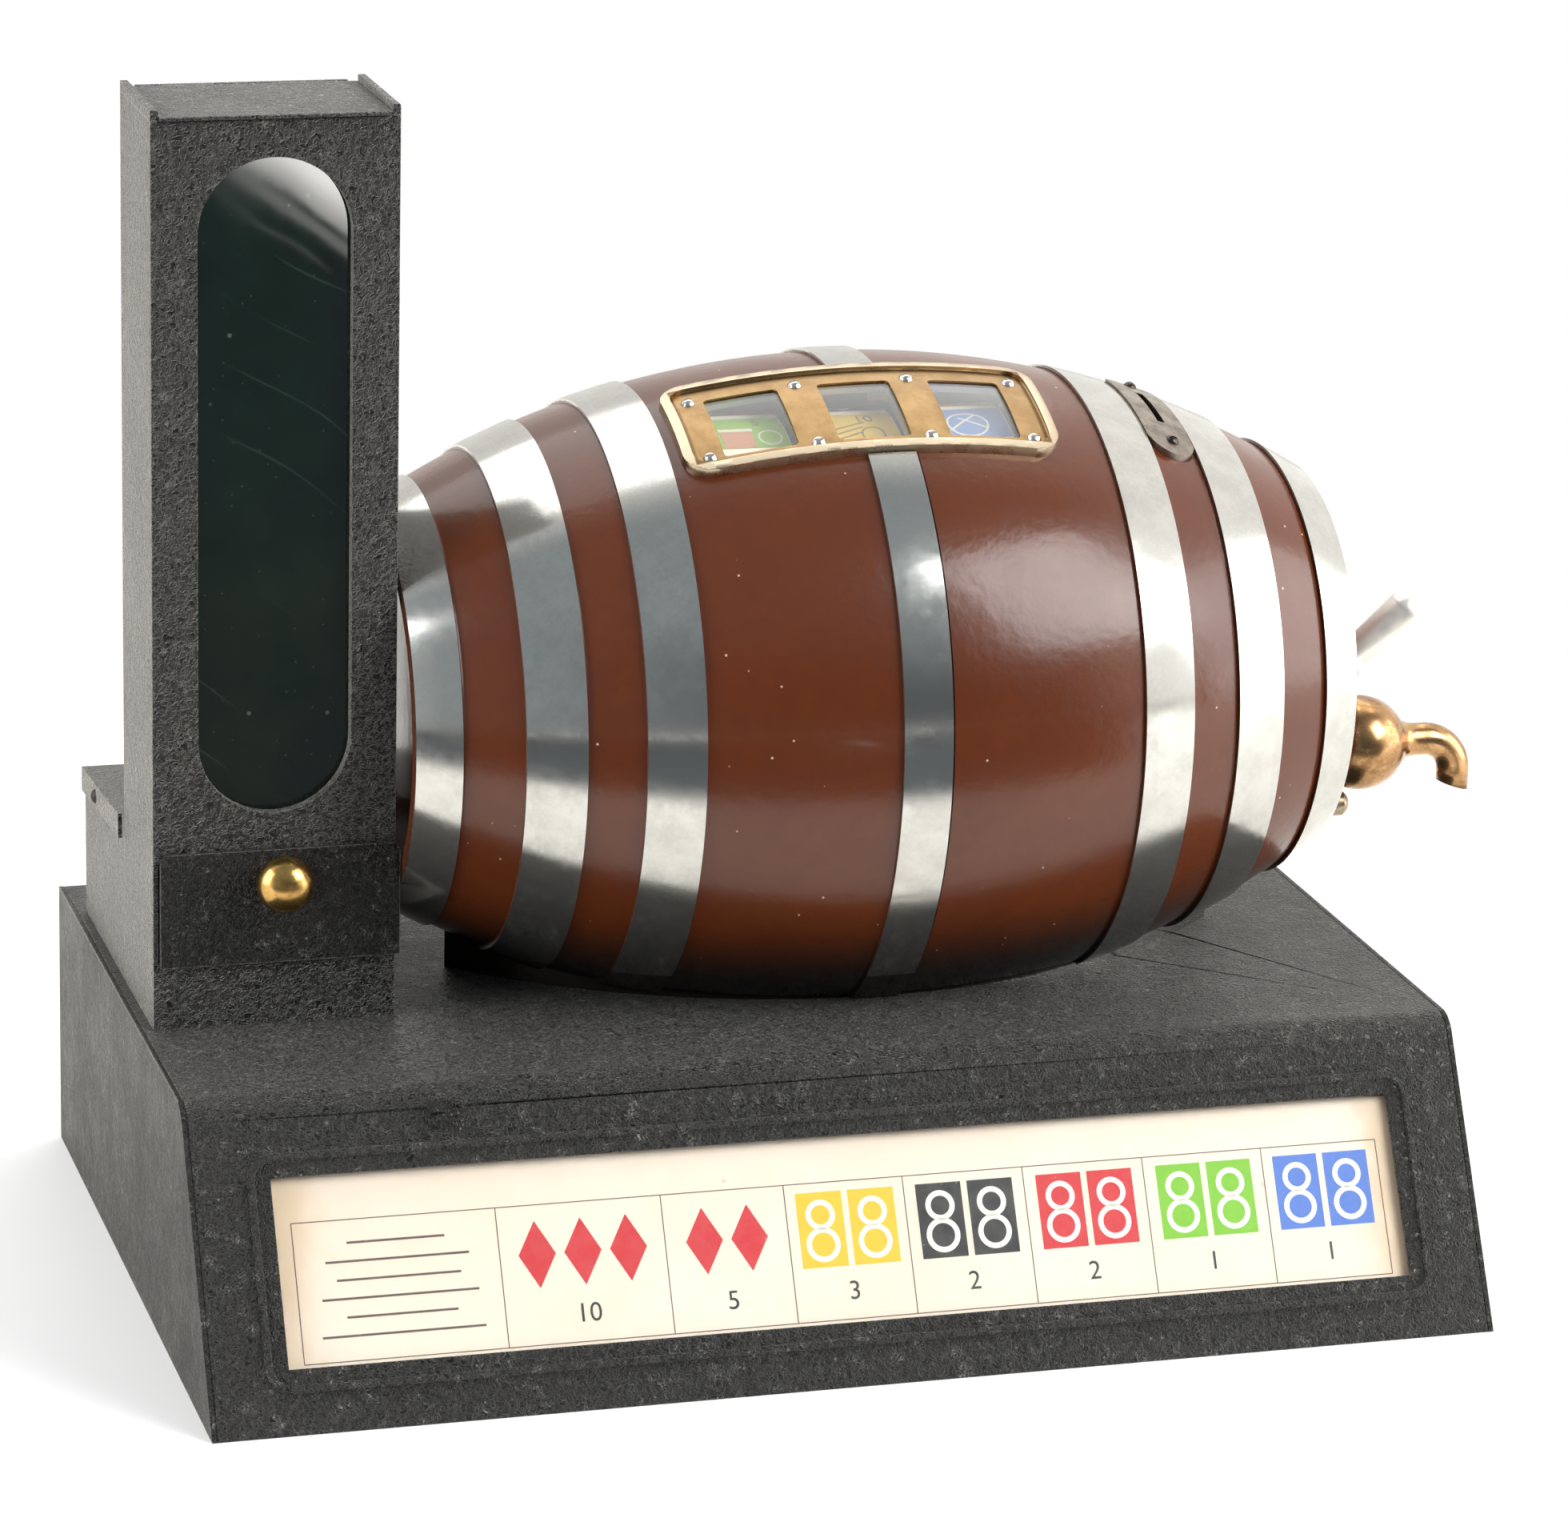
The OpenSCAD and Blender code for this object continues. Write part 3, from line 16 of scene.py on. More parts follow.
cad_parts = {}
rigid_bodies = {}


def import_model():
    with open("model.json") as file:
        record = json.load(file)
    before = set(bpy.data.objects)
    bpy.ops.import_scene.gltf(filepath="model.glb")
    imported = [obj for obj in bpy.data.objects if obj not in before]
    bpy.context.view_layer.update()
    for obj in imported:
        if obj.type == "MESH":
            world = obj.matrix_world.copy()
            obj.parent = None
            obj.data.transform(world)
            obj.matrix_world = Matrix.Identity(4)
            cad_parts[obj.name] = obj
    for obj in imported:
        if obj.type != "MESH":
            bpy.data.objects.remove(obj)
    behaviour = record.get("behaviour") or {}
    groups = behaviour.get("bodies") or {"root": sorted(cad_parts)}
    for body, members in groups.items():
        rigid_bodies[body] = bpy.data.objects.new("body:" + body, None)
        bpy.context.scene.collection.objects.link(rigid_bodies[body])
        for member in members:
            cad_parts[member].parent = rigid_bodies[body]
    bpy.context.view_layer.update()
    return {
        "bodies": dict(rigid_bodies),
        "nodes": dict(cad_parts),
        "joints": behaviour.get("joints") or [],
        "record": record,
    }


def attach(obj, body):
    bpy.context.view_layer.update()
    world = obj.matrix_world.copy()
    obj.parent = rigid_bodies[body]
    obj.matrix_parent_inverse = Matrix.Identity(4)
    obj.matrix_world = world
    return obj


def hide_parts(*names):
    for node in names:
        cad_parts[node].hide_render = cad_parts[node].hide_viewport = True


log = logging.getLogger("trade_stimulator")

MM = 0.001
MERGE = 0.001
REELS = (1, 2, 3)
Tone = tuple[float, float, float, float]
Point = tuple[float, float, float]
Box = tuple[Point, Point]
Pair = tuple[float, float]
Node = bpy.types.Node
Socket = bpy.types.NodeSocket
Tree = bpy.types.NodeTree
Value = Socket | float | tuple[float, ...]


class Body(Enum):
    """Groups of the machine that carry added pieces."""

    CABINET = "cabinet"
    DRAWER = "drawer"
    REEL_1 = "reel_1_group"
    REEL_2 = "reel_2_group"
    REEL_3 = "reel_3_group"


class Slot(Enum):
    """Finishes of the added pieces, as the parts list names them."""

    SPIGOT = "spigot_brass"
    KNOB = "knob_brass"
    CLEAR_GLASS = "clear_glass"
    CARD = "card_paper"
    STRIP = "strip_paper"


class Ink(Enum):
    """Printing inks of the card and the reel strips."""

    LINE = (92, 66, 60)
    BLACK = (24, 23, 26)
    RED = (208, 14, 34)
    YELLOW = (242, 192, 16)
    GREEN = (122, 190, 18)
    BLUE = (72, 116, 204)
    SALMON = (214, 128, 92)
    WHITE = (244, 238, 226)


def tone(red: float, green: float, blue: float) -> Tone:
    """Turns a screen tone into a linear colour.

    Args:
        red: Red from 0 to 255.
        green: Green from 0 to 255.
        blue: Blue from 0 to 255.

    Returns:
        The colour as shader sockets take it.
    """

    def part(value: float) -> float:
        """Linear value of one channel."""
        share = value / 255
        return share / 12.92 if share <= 0.04045 else ((share + 0.055) / 1.055) ** 2.4

    return (part(red), part(green), part(blue), 1.0)


class Graph:
    """Short calls that lay out a node tree."""

    def __init__(self, tree: Tree) -> None:
        """Keeps the tree to build in."""
        self.tree = tree

    @classmethod
    def of(cls, owner: bpy.types.Material | bpy.types.World) -> Graph:
        """Starts an empty graph.

        Args:
            owner: The material or world that it belongs to.

        Returns:
            The graph.
        """
        owner.use_nodes = True
        owner.node_tree.nodes.clear()
        return cls(owner.node_tree)

    def node(self, kind: str, inputs: dict | None = None, **settings: object) -> Node:
        """Adds a node.

        Args:
            kind: Blender's name of the node type.
            inputs: Values or sockets by input name or number.
            settings: Properties set before the inputs.

        Returns:
            The new node.
        """
        made = self.tree.nodes.new(kind)
        for key, value in settings.items():
            setattr(made, key, value)
        for key, value in (inputs or {}).items():
            if isinstance(value, Socket):
                self.tree.links.new(value, made.inputs[key])
            else:
                made.inputs[key].default_value = value
        return made

    def math(self, kind: str, a: Value, b: Value = 0.0, clamp: bool = False) -> Socket:
        """Adds a sum of one kind on a and b."""
        return self.node("ShaderNodeMath", {0: a, 1: b}, operation=kind, use_clamp=clamp).outputs[0]

    def plus(self, a: Value, b: Value) -> Socket:
        """Adds b to a."""
        return self.math("ADD", a, b)

    def minus(self, a: Value, b: Value) -> Socket:
        """Takes b from a."""
        return self.math("SUBTRACT", a, b)

    def times(self, a: Value, b: Value) -> Socket:
        """Multiplies a by b."""
        return self.math("MULTIPLY", a, b)

    def gap(self, a: Value, b: Value) -> Socket:
        """Measures how far apart a and b are."""
        return self.math("ABSOLUTE", self.minus(a, b))

    def vector(self, kind: str, a: Value, b: Value = (0.0, 0.0, 0.0)) -> Socket:
        """Adds a vector sum of one kind on a and b."""
        made = self.node("ShaderNodeVectorMath", {0: a, 1: b}, operation=kind)
        return made.outputs["Value" if kind == "LENGTH" else "Vector"]

    def over(self, vector: Value, size: Value) -> Socket:
        """Divides a vector by a size."""
        sizes = self.node("ShaderNodeCombineXYZ", dict.fromkeys((0, 1, 2), size)).outputs[0]
        return self.vector("DIVIDE", vector, sizes)

    def step(self, value: Value, low: Value, high: Value) -> Socket:
        """Goes softly from 0 at low to 1 at high."""
        inputs = {0: value, 1: low, 2: high}
        return self.node("ShaderNodeMapRange", inputs, interpolation_type="SMOOTHSTEP").outputs[0]

    def blend(self, share: Value, a: Value, b: Value) -> Socket:
        """Mixes colours a and b by a share."""
        return self.node("ShaderNodeMix", {0: share, 6: a, 7: b}, data_type="RGBA").outputs[2]

    def lay(self, color: Value, mask: Value, share: float, tint: Value) -> Socket:
        """Lays a tint over a colour where a mask is, at a share of its strength."""
        return self.blend(self.times(mask, share), color, tint)

    def between(self, share: Value, a: float, b: float) -> Socket:
        """Goes from a to b by a share."""
        return self.plus(self.times(share, b - a), a)

    def texture(self, vector: Value, scale: float, detail: float, rough: float = 0.5, bent: float = 0) -> Socket:
        """Adds noise of a scale, with its layers, their roughness and its bending."""
        inputs = {"Vector": vector, "Scale": scale, "Detail": detail, "Roughness": rough, "Distortion": bent}
        return self.node("ShaderNodeTexNoise", inputs).outputs[0]

    def noise(self, vector: Value, size: float, detail: float = 2.0, rough: float = 0.5) -> Socket:
        """Adds noise with features of a size in millimetres."""
        return self.texture(vector, 1 / (size * MM), detail, rough)

    def place(self) -> Socket:
        """The point on the piece, in the machine's frame."""
        return self.node("ShaderNodeTexCoord").outputs["Object"]

    def local(self, vector: Value, origin: Iterable[float], turn: Iterable[float]) -> Socket:
        """Brings a point into a frame of its own.

        Args:
            vector: The point.
            origin: Origin of the frame in millimetres.
            turn: Turn of the frame in degrees.

        Returns:
            The point in that frame.
        """
        inputs = {"Vector": vector, "Location": tuple(v * MM for v in origin)}
        inputs["Rotation"] = tuple(math.radians(v) for v in turn)
        return self.node("ShaderNodeMapping", inputs, vector_type="TEXTURE").outputs[0]

    def parts(self, vector: Value) -> list[Socket]:
        """Splits a vector into x, y and z."""
        return list(self.node("ShaderNodeSeparateXYZ", {0: vector}).outputs)

    def bump(self, height: Value, distance: float, strength: float = 1.0) -> Socket:
        """Turns a height into a normal, with its full depth in millimetres."""
        inputs = {"Height": height, "Distance": distance * MM, "Strength": strength}
        return self.node("ShaderNodeBump", inputs).outputs[0]

    def group(self, effect: Effect, **inputs: Value) -> Node:
        """Places a shared effect.

        Args:
            effect: The effect.
            inputs: Its values or sockets, by name in small letters.

        Returns:
            The group's node.
        """
        values = {key.capitalize(): value for key, value in inputs.items()}
        return self.node("ShaderNodeGroup", values, node_tree=effect.tree())

    def effect(self, effect: Effect, at: Value, size: float, **inputs: Value) -> Socket:
        """Places a shared effect with features of a size in millimetres, and gives its mask."""
        return self.group(effect, vector=at, size=size * MM, **inputs).outputs[0]


class Effect(Enum):
    """Effects shared by several finishes, each a node group built once."""

    GRAIN = "wrinkle grain"
    CLOUD = "clouding"
    SCRATCH = "fine scratches"
    EDGES = "worn box edges"
    SPECK = "specks"

    def tree(self) -> Tree:
        """Builds the group when it is first asked for.

        Returns:
            The node group.
        """
        made = bpy.data.node_groups.get(self.value)
        if made is None:
            made = bpy.data.node_groups.new(self.value, "ShaderNodeTree")
            {
                Effect.GRAIN: self._grain,
                Effect.CLOUD: self._cloud,
                Effect.SCRATCH: self._scratch,
                Effect.EDGES: self._edges,
                Effect.SPECK: self._speck,
            }[self](made)
        return made

    @staticmethod
    def _open(tree: Tree, inputs: str, outputs: str) -> tuple[Graph, list[Socket], Node]:
        """Gives a group its sockets.

        Args:
            tree: The group.
            inputs: Names of the values coming in.
            outputs: Names of the values put out.

        Returns:
            The graph, the sockets coming in and the output node.
        """
        for name in inputs.split():
            kind = "Vector" if name in ("Vector", "Low", "High") else "Float"
            tree.interface.new_socket(name, in_out="INPUT", socket_type=f"NodeSocket{kind}")
        for name in outputs.split():
            tree.interface.new_socket(name, in_out="OUTPUT", socket_type="NodeSocketFloat")
        graph = Graph(tree)
        start = graph.node("NodeGroupInput")
        return graph, [start.outputs[name] for name in inputs.split()], graph.node("NodeGroupOutput")

    @classmethod
    def _grain(cls, tree: Tree) -> None:
        """Short crowded ridges of wrinkle enamel, and a mask of their crests, where painted glints go.

        Args:
            tree: The group to fill.
        """
        g, (vector, size), end = cls._open(tree, "Vector Size", "Height Crest")
        scaled = g.over(vector, size)
        swirl = g.texture(scaled, 1.0, 2.0, bent=1.4)
        ridge = g.times(g.gap(swirl, 0.5), 6.5)
        wide = g.texture(scaled, 0.42, 1.0)
        height = g.plus(g.math("SUBTRACT", 1.0, ridge, clamp=True), g.times(wide, 0.8))
        g.tree.links.new(height, end.inputs["Height"])
        g.tree.links.new(g.step(height, 1.37, 1.54), end.inputs["Crest"])

    @classmethod
    def _cloud(cls, tree: Tree) -> None:
        """Uneven clouds at two sizes.

        Args:
            tree: The group to fill.
        """
        g, (vector, size), end = cls._open(tree, "Vector Size", "Mask")
        scaled = g.over(vector, size)
        big = g.texture(scaled, 1.0, 4.0, 0.6)
        fine = g.texture(scaled, 4.7, 3.0, 0.6)
        both = g.plus(g.times(big, 0.7), g.times(fine, 0.3))
        g.tree.links.new(g.step(both, 0.33, 0.67), end.inputs["Mask"])

    @classmethod
    def _scratch(cls, tree: Tree) -> None:
        """Hair scratches drawn out along the first axis of the vector, in two lays.

        Args:
            tree: The group to fill.
        """
        g, (vector, size), end = cls._open(tree, "Vector Size", "Height")
        scaled = g.over(vector, size)
        lays = []
        for turn in (0.12, -0.35):
            inputs = {"Vector": scaled, "Rotation": (turn, turn * 0.6, turn), "Scale": (0.04, 1.0, 1.0)}
            drawn = g.node("ShaderNodeMapping", inputs).outputs[0]
            lays.append(g.step(g.texture(drawn, 1.0, 3.0, 0.7), 0.52, 0.72))
        g.tree.links.new(g.plus(*lays), end.inputs["Height"])

    @classmethod
    def _edges(cls, tree: Tree) -> None:
        """Mask of the edges of a box between two corners, its width broken up by noise.

        Args:
            tree: The group to fill.
        """
        g, (vector, low, high, width), end = cls._open(tree, "Vector Low High Width", "Mask")
        near = g.vector("ABSOLUTE", g.vector("SUBTRACT", vector, low))
        far = g.vector("ABSOLUTE", g.vector("SUBTRACT", vector, high))
        x, y, z = g.parts(g.vector("MINIMUM", near, far))
        pairs = [g.plus(x, y), g.plus(y, z), g.plus(z, x)]
        least = g.math("MINIMUM", g.math("MINIMUM", pairs[0], pairs[1]), pairs[2])
        ragged = g.times(width, g.times(g.minus(g.noise(vector, 2.2, 4.0, 0.7), 0.24), 2.4))
        g.tree.links.new(g.step(least, ragged, g.times(ragged, 0.45)), end.inputs["Mask"])

    @classmethod
    def _speck(cls, tree: Tree) -> None:
        """Sparse round specks.

        Args:
            tree: The group to fill.
        """
        g, (vector, size, share), end = cls._open(tree, "Vector Size Share", "Mask")
        scaled = g.over(vector, size)
        cells = g.node("ShaderNodeTexVoronoi", {"Vector": scaled, "Scale": 0.25})
        chosen = g.math("LESS_THAN", g.parts(cells.outputs["Color"])[0], share)
        g.tree.links.new(g.times(g.step(cells.outputs["Distance"], 0.16, 0.08), chosen), end.inputs["Mask"])


@dataclass(frozen=True)
class Finish(ABC):
    """A surface finish that makes one material."""

    name: str

    @abstractmethod
    def shade(self, g: Graph) -> dict:
        """Lays out the nodes.

        Args:
            g: Graph of the material.

        Returns:
            The shader's inputs by name.
        """

    def material(self) -> bpy.types.Material:
        """Makes the material when it is first asked for.

        Returns:
            The material.
        """
        made = bpy.data.materials.get(self.name)
        if made is not None and made.get("ours"):
            return made
        made = bpy.data.materials.new(self.name)
        made["ours"] = True
        g = Graph.of(made)
        shader = g.node("ShaderNodeBsdfPrincipled", self.shade(g)).outputs[0]
        g.node("ShaderNodeOutputMaterial", {"Surface": self.passed(g, shader)})
        return made

    def passed(self, g: Graph, shader: Socket) -> Socket:
        """Lets a finish wrap its shader; most leave it as it is."""
        return shader


@dataclass(frozen=True)
class Wrinkle(Finish):
    """Black wrinkle enamel on sheet steel, rubbed through along its edges, which partly carry a painted
    highlight.
    """

    base: Tone = tone(5, 5, 5)
    # Tone of the painted glints on the grain's crests.
    crest: Tone = tone(138, 137, 130)
    # Tone of the worn edges, which is partly a painted highlight.
    bare: Tone = tone(120, 118, 110)
    dust: Tone = tone(26, 25, 23)
    fleck: Tone = tone(150, 148, 138)
    size: float = 1.9
    box: Box | None = None
    wear: float = 0.7
    rough: float = 0.34
    sheen: float = 0.1

    def shade(self, g: Graph) -> dict:
        """Grain with painted glints on its crests, clouding, dust in the hollows, and bright worn edges that
        partly carry a painted highlight.

        Args:
            g: Graph of the material.

        Returns:
            The shader's inputs by name.
        """
        at = g.place()
        grain = g.group(Effect.GRAIN, vector=at, size=self.size * MM)
        cloud = g.effect(Effect.CLOUD, at, 34)
        # Painted glint: the grain's crests are lighter in colour.
        color = g.blend(grain.outputs["Crest"], self.base, self.crest)
        color = g.lay(color, cloud, 0.25, self.dust)
        specks = g.effect(Effect.SPECK, at, 0.9, share=0.16)
        color = g.lay(color, specks, 0.6, self.fleck)
        inputs = {"Sheen Weight": self.sheen, "Sheen Roughness": 0.3, "Sheen Tint": (1.0, 0.97, 0.9, 1.0)}
        inputs |= {"Specular IOR Level": 0.5, "IOR": 1.45}
        if self.box:
            low, high = (tuple(v * MM for v in corner) for corner in self.box)
            # Worn edges: rubbed-through enamel, partly a painted highlight along the rounded edges.
            wear_and_highlight = g.group(Effect.EDGES, vector=at, low=low, high=high, width=self.wear * MM).outputs[0]
            color = g.blend(wear_and_highlight, color, self.bare)
            inputs["Metallic"] = g.times(wear_and_highlight, 0.4)
        inputs["Base Color"] = color
        inputs["Roughness"] = g.between(cloud, self.rough - 0.06, self.rough + 0.08)
        inputs["Normal"] = g.bump(grain.outputs["Height"], 0.9)
        return inputs


@dataclass(frozen=True)
class Metal(Finish):
    """Polished or dull metal with clouded tarnish, hair scratches and a few pits."""

    bright: Tone
    dull: Tone
    rough: float
    cloud: float = 14.0
    tarnish: float = 0.5
    scratch: float = 0.002
    grain: float = 0.3
    pits: float = 0.12
    spread: float = 0.12
    dark_from: float | None = None
    dark: Tone = tone(74, 66, 60)

    def shade(self, g: Graph) -> dict:
        """Two tones in clouds, with roughness that follows them.

        Args:
            g: Graph of the material.

        Returns:
            The shader's inputs by name.
        """
        at = g.place()
        cloud = g.effect(Effect.CLOUD, at, self.cloud)
        lines = g.effect(Effect.SCRATCH, at, self.grain)
        pits = g.effect(Effect.SPECK, at, 0.9, share=self.pits)
        color = g.blend(g.times(cloud, self.tarnish), self.bright, self.dull)
        color = g.lay(color, pits, 0.5, self.dull)
        if self.dark_from is not None:
            beyond = g.math("GREATER_THAN", g.parts(at)[0], self.dark_from * MM)
            color = g.blend(beyond, color, self.dark)
        rough = g.between(cloud, self.rough - self.spread / 2, self.rough + self.spread)
        rough = g.plus(rough, g.times(lines, 0.03))
        height = g.minus(g.times(lines, -1.0), g.times(pits, 2.0))
        normal = g.bump(height, self.scratch)
        return {"Base Color": color, "Metallic": 1.0, "Roughness": rough, "Normal": normal}


@dataclass(frozen=True)
class StavePaint(Finish):
    """Brown gloss paint on the cast barrel, with its raised hoops polished bare."""

    paint: Tone = tone(96, 44, 15)
    shaded: Tone = tone(89, 39, 13)
    # Painted shade: tone that darkens the paint towards the barrel's underside.
    grime: Tone = tone(16, 10, 7)
    chip: Tone = tone(226, 200, 176)
    seam: Tone = tone(38, 20, 12)
    bare: Tone = tone(203, 202, 198)
    dull: Tone = tone(166, 165, 160)
    scored: Tone = tone(236, 235, 230)
    painted_hoop_shade: Tone = tone(90, 88, 84)
    # Painted shade: tone that darkens the bare hoops towards the barrel's underside.
    casting: Tone = tone(150, 148, 144)
    axis: Point = (31.7, 27.0, 177.0)
    arc_r: float = 295.1
    arc_off: float = 190.4
    head_at: float = 143.5
    foot_at: float = -76.0
    flaked_at: float = 62.0

    def shade(self, g: Graph) -> dict:
        """Metal wherever the surface stands proud of the staves, paint elsewhere, bare casting inside, and
        painted shade towards the barrel's underside.

        Args:
            g: Graph of the material.

        Returns:
            The shader's inputs by name.
        """
        at = g.place()
        dx, dy, dz = g.parts(g.local(at, self.axis, (0, 0, 0)))
        radius = g.math("SQRT", g.plus(g.times(dy, dy), g.times(dz, dz)))
        arc = g.math("SQRT", g.minus((self.arc_r * MM) ** 2, g.times(dx, dx)))
        proud = g.minus(radius, g.minus(arc, self.arc_off * MM))
        ragged = g.times(g.minus(g.noise(at, 3.0, 3.0, 0.6), 0.5), 0.9 * MM)
        line = g.plus(proud, ragged)
        metal = g.step(line, 0.55 * MM, 0.75 * MM)
        inside = g.step(proud, -1.2 * MM, -1.6 * MM)
        inside = g.times(inside, g.math("LESS_THAN", g.math("ABSOLUTE", dx), self.head_at * MM))
        foot = g.math("LESS_THAN", dz, self.foot_at * MM)
        flaked = g.plus(dx, g.times(g.noise(at, 9.0, 4.0, 0.7), 60 * MM))
        flaked = g.step(flaked, self.flaked_at * MM, (self.flaked_at + 4) * MM)
        metal = g.times(metal, g.plus(g.times(foot, g.minus(flaked, 1.0)), 1.0))
        cloud = g.effect(Effect.CLOUD, at, 26)
        mottle = g.effect(Effect.CLOUD, at, 9)
        lines = g.effect(Effect.SCRATCH, g.local(at, self.axis, (0, 0, 90)), 0.35)
        specks = g.effect(Effect.SPECK, at, 0.8, share=0.05)
        paint = g.blend(cloud, self.paint, self.shaded)
        paint = g.lay(paint, specks, 0.75, self.chip)
        seam = g.step(g.gap(line, 0.5 * MM), 0.16 * MM, 0.05 * MM)
        paint = g.lay(paint, seam, 0.5, self.seam)
        bare = g.lay(self.bare, mottle, 0.45, self.dull)
        bare = g.lay(bare, lines, 0.2, self.scored)
        # Painted shade: paint and bare hoops go dark towards the underside of the barrel.
        painted_belly_shade = g.times(g.step(dz, -45 * MM, -82 * MM), 0.97)
        paint = g.blend(painted_belly_shade, paint, self.grime)
        bare = g.lay(bare, painted_belly_shade, 0.5, self.painted_hoop_shade)
        color = g.blend(metal, paint, bare)
        color = g.blend(inside, color, self.casting)
        shiny = g.math("MAXIMUM", metal, inside)
        rough_paint = g.between(cloud, 0.2, 0.26)
        rough_bare = g.plus(g.between(mottle, 0.1, 0.19), g.times(inside, 0.25))
        rough = g.plus(rough_paint, g.times(shiny, g.minus(rough_bare, rough_paint)))
        peel = g.times(g.noise(at, 3.4, 2.0, 0.5), g.minus(1.0, metal))
        height = g.plus(peel, g.times(g.times(lines, metal), -0.02))
        return {
            "Base Color": color,
            "Metallic": g.times(shiny, 0.97),
            "Roughness": rough,
            "Normal": g.bump(height, 0.08),
            "IOR": 1.5,
            "Coat Weight": g.times(g.minus(1.0, shiny), 0.14),
            "Coat Roughness": 0.08,
            "Coat IOR": 1.5,
        }


@dataclass(frozen=True)
class FrameBrass(Finish):
    """Brass of the reel window frame: rims rubbed bright and partly carrying a painted highlight, the face
    between them browner.
    """

    # Tone of the rims: rubbed brass, partly a painted highlight.
    bright: Tone = tone(200, 184, 158)
    face: Tone = tone(168, 138, 96)
    brown: Tone = tone(134, 104, 68)
    dark: Tone = tone(104, 80, 56)
    origin: Point = (31.7, 27.0, 177.0)
    turn: float = 22.0
    centre: Pair = (-6.5, 2.6)
    half: Pair = (60.3, 23.0)
    rim: float = 3.2

    def shade(self, g: Graph) -> dict:
        """Bright band along the outline, partly a painted highlight, tarnish gathered along its inner side.

        Args:
            g: Graph of the material.

        Returns:
            The shader's inputs by name.
        """
        at = g.place()
        x, y, _ = g.parts(g.local(at, self.origin, (self.turn, 0, 0)))
        across = g.minus(self.half[0] * MM, g.gap(x, self.centre[0] * MM))
        along = g.minus(self.half[1] * MM, g.gap(y, self.centre[1] * MM))
        inset = g.math("MINIMUM", across, along)
        # Rim band: rubbed brass, partly a painted highlight on the rounded rim.
        rim = g.step(inset, (self.rim + 0.35) * MM, (self.rim - 0.25) * MM)
        grime = g.step(g.gap(inset, (self.rim + 0.7) * MM), 1.1 * MM, 0.2 * MM)
        cloud = g.effect(Effect.CLOUD, at, 8)
        lines = g.effect(Effect.SCRATCH, at, 0.3)
        color = g.blend(rim, g.lay(self.face, cloud, 0.4, self.brown), self.bright)
        color = g.lay(color, grime, 0.75, self.dark)
        rough = g.minus(g.between(cloud, 0.34, 0.44), g.times(rim, 0.1))
        normal = g.bump(g.times(lines, -1.0), 0.004)
        return {"Base Color": color, "Metallic": 1.0, "Roughness": rough, "Normal": normal}


@dataclass(frozen=True)
class Glass(Finish):
    """Clear window glass."""

    tint: Tone
    dust: Tone = tone(200, 200, 190)
    rough: float = 0.02
    bend: float = 1.5
    wave: float = 0.02

    def shade(self, g: Graph) -> dict:
        """Faint smears and dust over a smooth face.

        Args:
            g: Graph of the material.

        Returns:
            The shader's inputs by name.
        """
        at = g.place()
        smear = g.effect(Effect.CLOUD, at, 30)
        color = g.lay(self.tint, g.effect(Effect.SPECK, at, 0.5, share=0.04), 0.25, self.dust)
        return {
            "Base Color": color,
            "Roughness": g.between(smear, self.rough, self.rough + 0.03),
            "Transmission Weight": 1.0,
            "IOR": self.bend,
            "Normal": g.bump(g.noise(at, 40.0, 1.0), self.wave),
        }

    def passed(self, g: Graph, shader: Socket) -> Socket:
        """Lets light through to what stands behind the glass.

        Args:
            g: Graph of the material.
            shader: The glass.

        Returns:
            The glass, clear to the light of the lamps.
        """
        shadow = g.node("ShaderNodeLightPath").outputs["Is Shadow Ray"]
        clear = g.node("ShaderNodeBsdfTransparent", {"Color": (0.93, 0.95, 0.94, 1.0)}).outputs[0]
        return g.node("ShaderNodeMixShader", {0: shadow, 1: shader, 2: clear}).outputs[0]


@dataclass(frozen=True)
class TowerGlass(Finish):
    """Dark green glass of the dispenser, streaked and dusty."""

    deep: Tone = tone(2, 21, 11)
    hazy: Tone = tone(12, 36, 28)
    # Warm tone of the painted reflection towards the glass's foot.
    painted_warm_reflection: Tone = tone(30, 34, 18)
    streak: Tone = tone(70, 96, 84)
    dust: Tone = tone(110, 122, 104)
    spot: Tone = tone(140, 148, 130)
    foot: float = 180.0
    lean: float = 38.0

    def shade(self, g: Graph) -> dict:
        """Cloudy green, warmer towards its foot as a painted reflection, thin slanting streaks that bend with
        the clouds, and specks of dust.

        Args:
            g: Graph of the material.

        Returns:
            The shader's inputs by name.
        """
        at = g.place()
        cloud = g.effect(Effect.CLOUD, at, 60)
        fine = g.effect(Effect.SPECK, at, 0.7, share=0.3)
        large = g.effect(Effect.SPECK, at, 1.5, share=0.08)
        slant = g.local(at, (0, 0, 0), (0, self.lean, 0))
        inputs = {"Vector": slant, "Scale": 9.0, "Distortion": 5.0, "Detail": 1.0, "Detail Scale": 0.9}
        bands = g.node("ShaderNodeTexWave", inputs, bands_direction="Z").outputs[1]
        thin = g.step(g.gap(bands, 0.5), 0.05, 0.0)
        streak = g.times(thin, g.step(g.noise(at, 45.0, 1.0), 0.46, 0.66))
        # Painted reflection: a warm tone towards the glass's lower end.
        low = g.step(g.parts(at)[2], (self.foot + 110) * MM, self.foot * MM)
        color = g.blend(cloud, self.deep, g.blend(low, self.hazy, self.painted_warm_reflection))
        color = g.lay(color, streak, 0.3, self.streak)
        color = g.lay(color, fine, 0.2, self.dust)
        color = g.lay(color, large, 0.35, self.spot)
        return {
            "Base Color": color,
            "Roughness": g.between(cloud, 0.02, 0.05),
            "Transmission Weight": 0.15,
            "IOR": 1.85,
            "Normal": g.bump(g.noise(at, 40.0, 1.0), 0.05),
        }


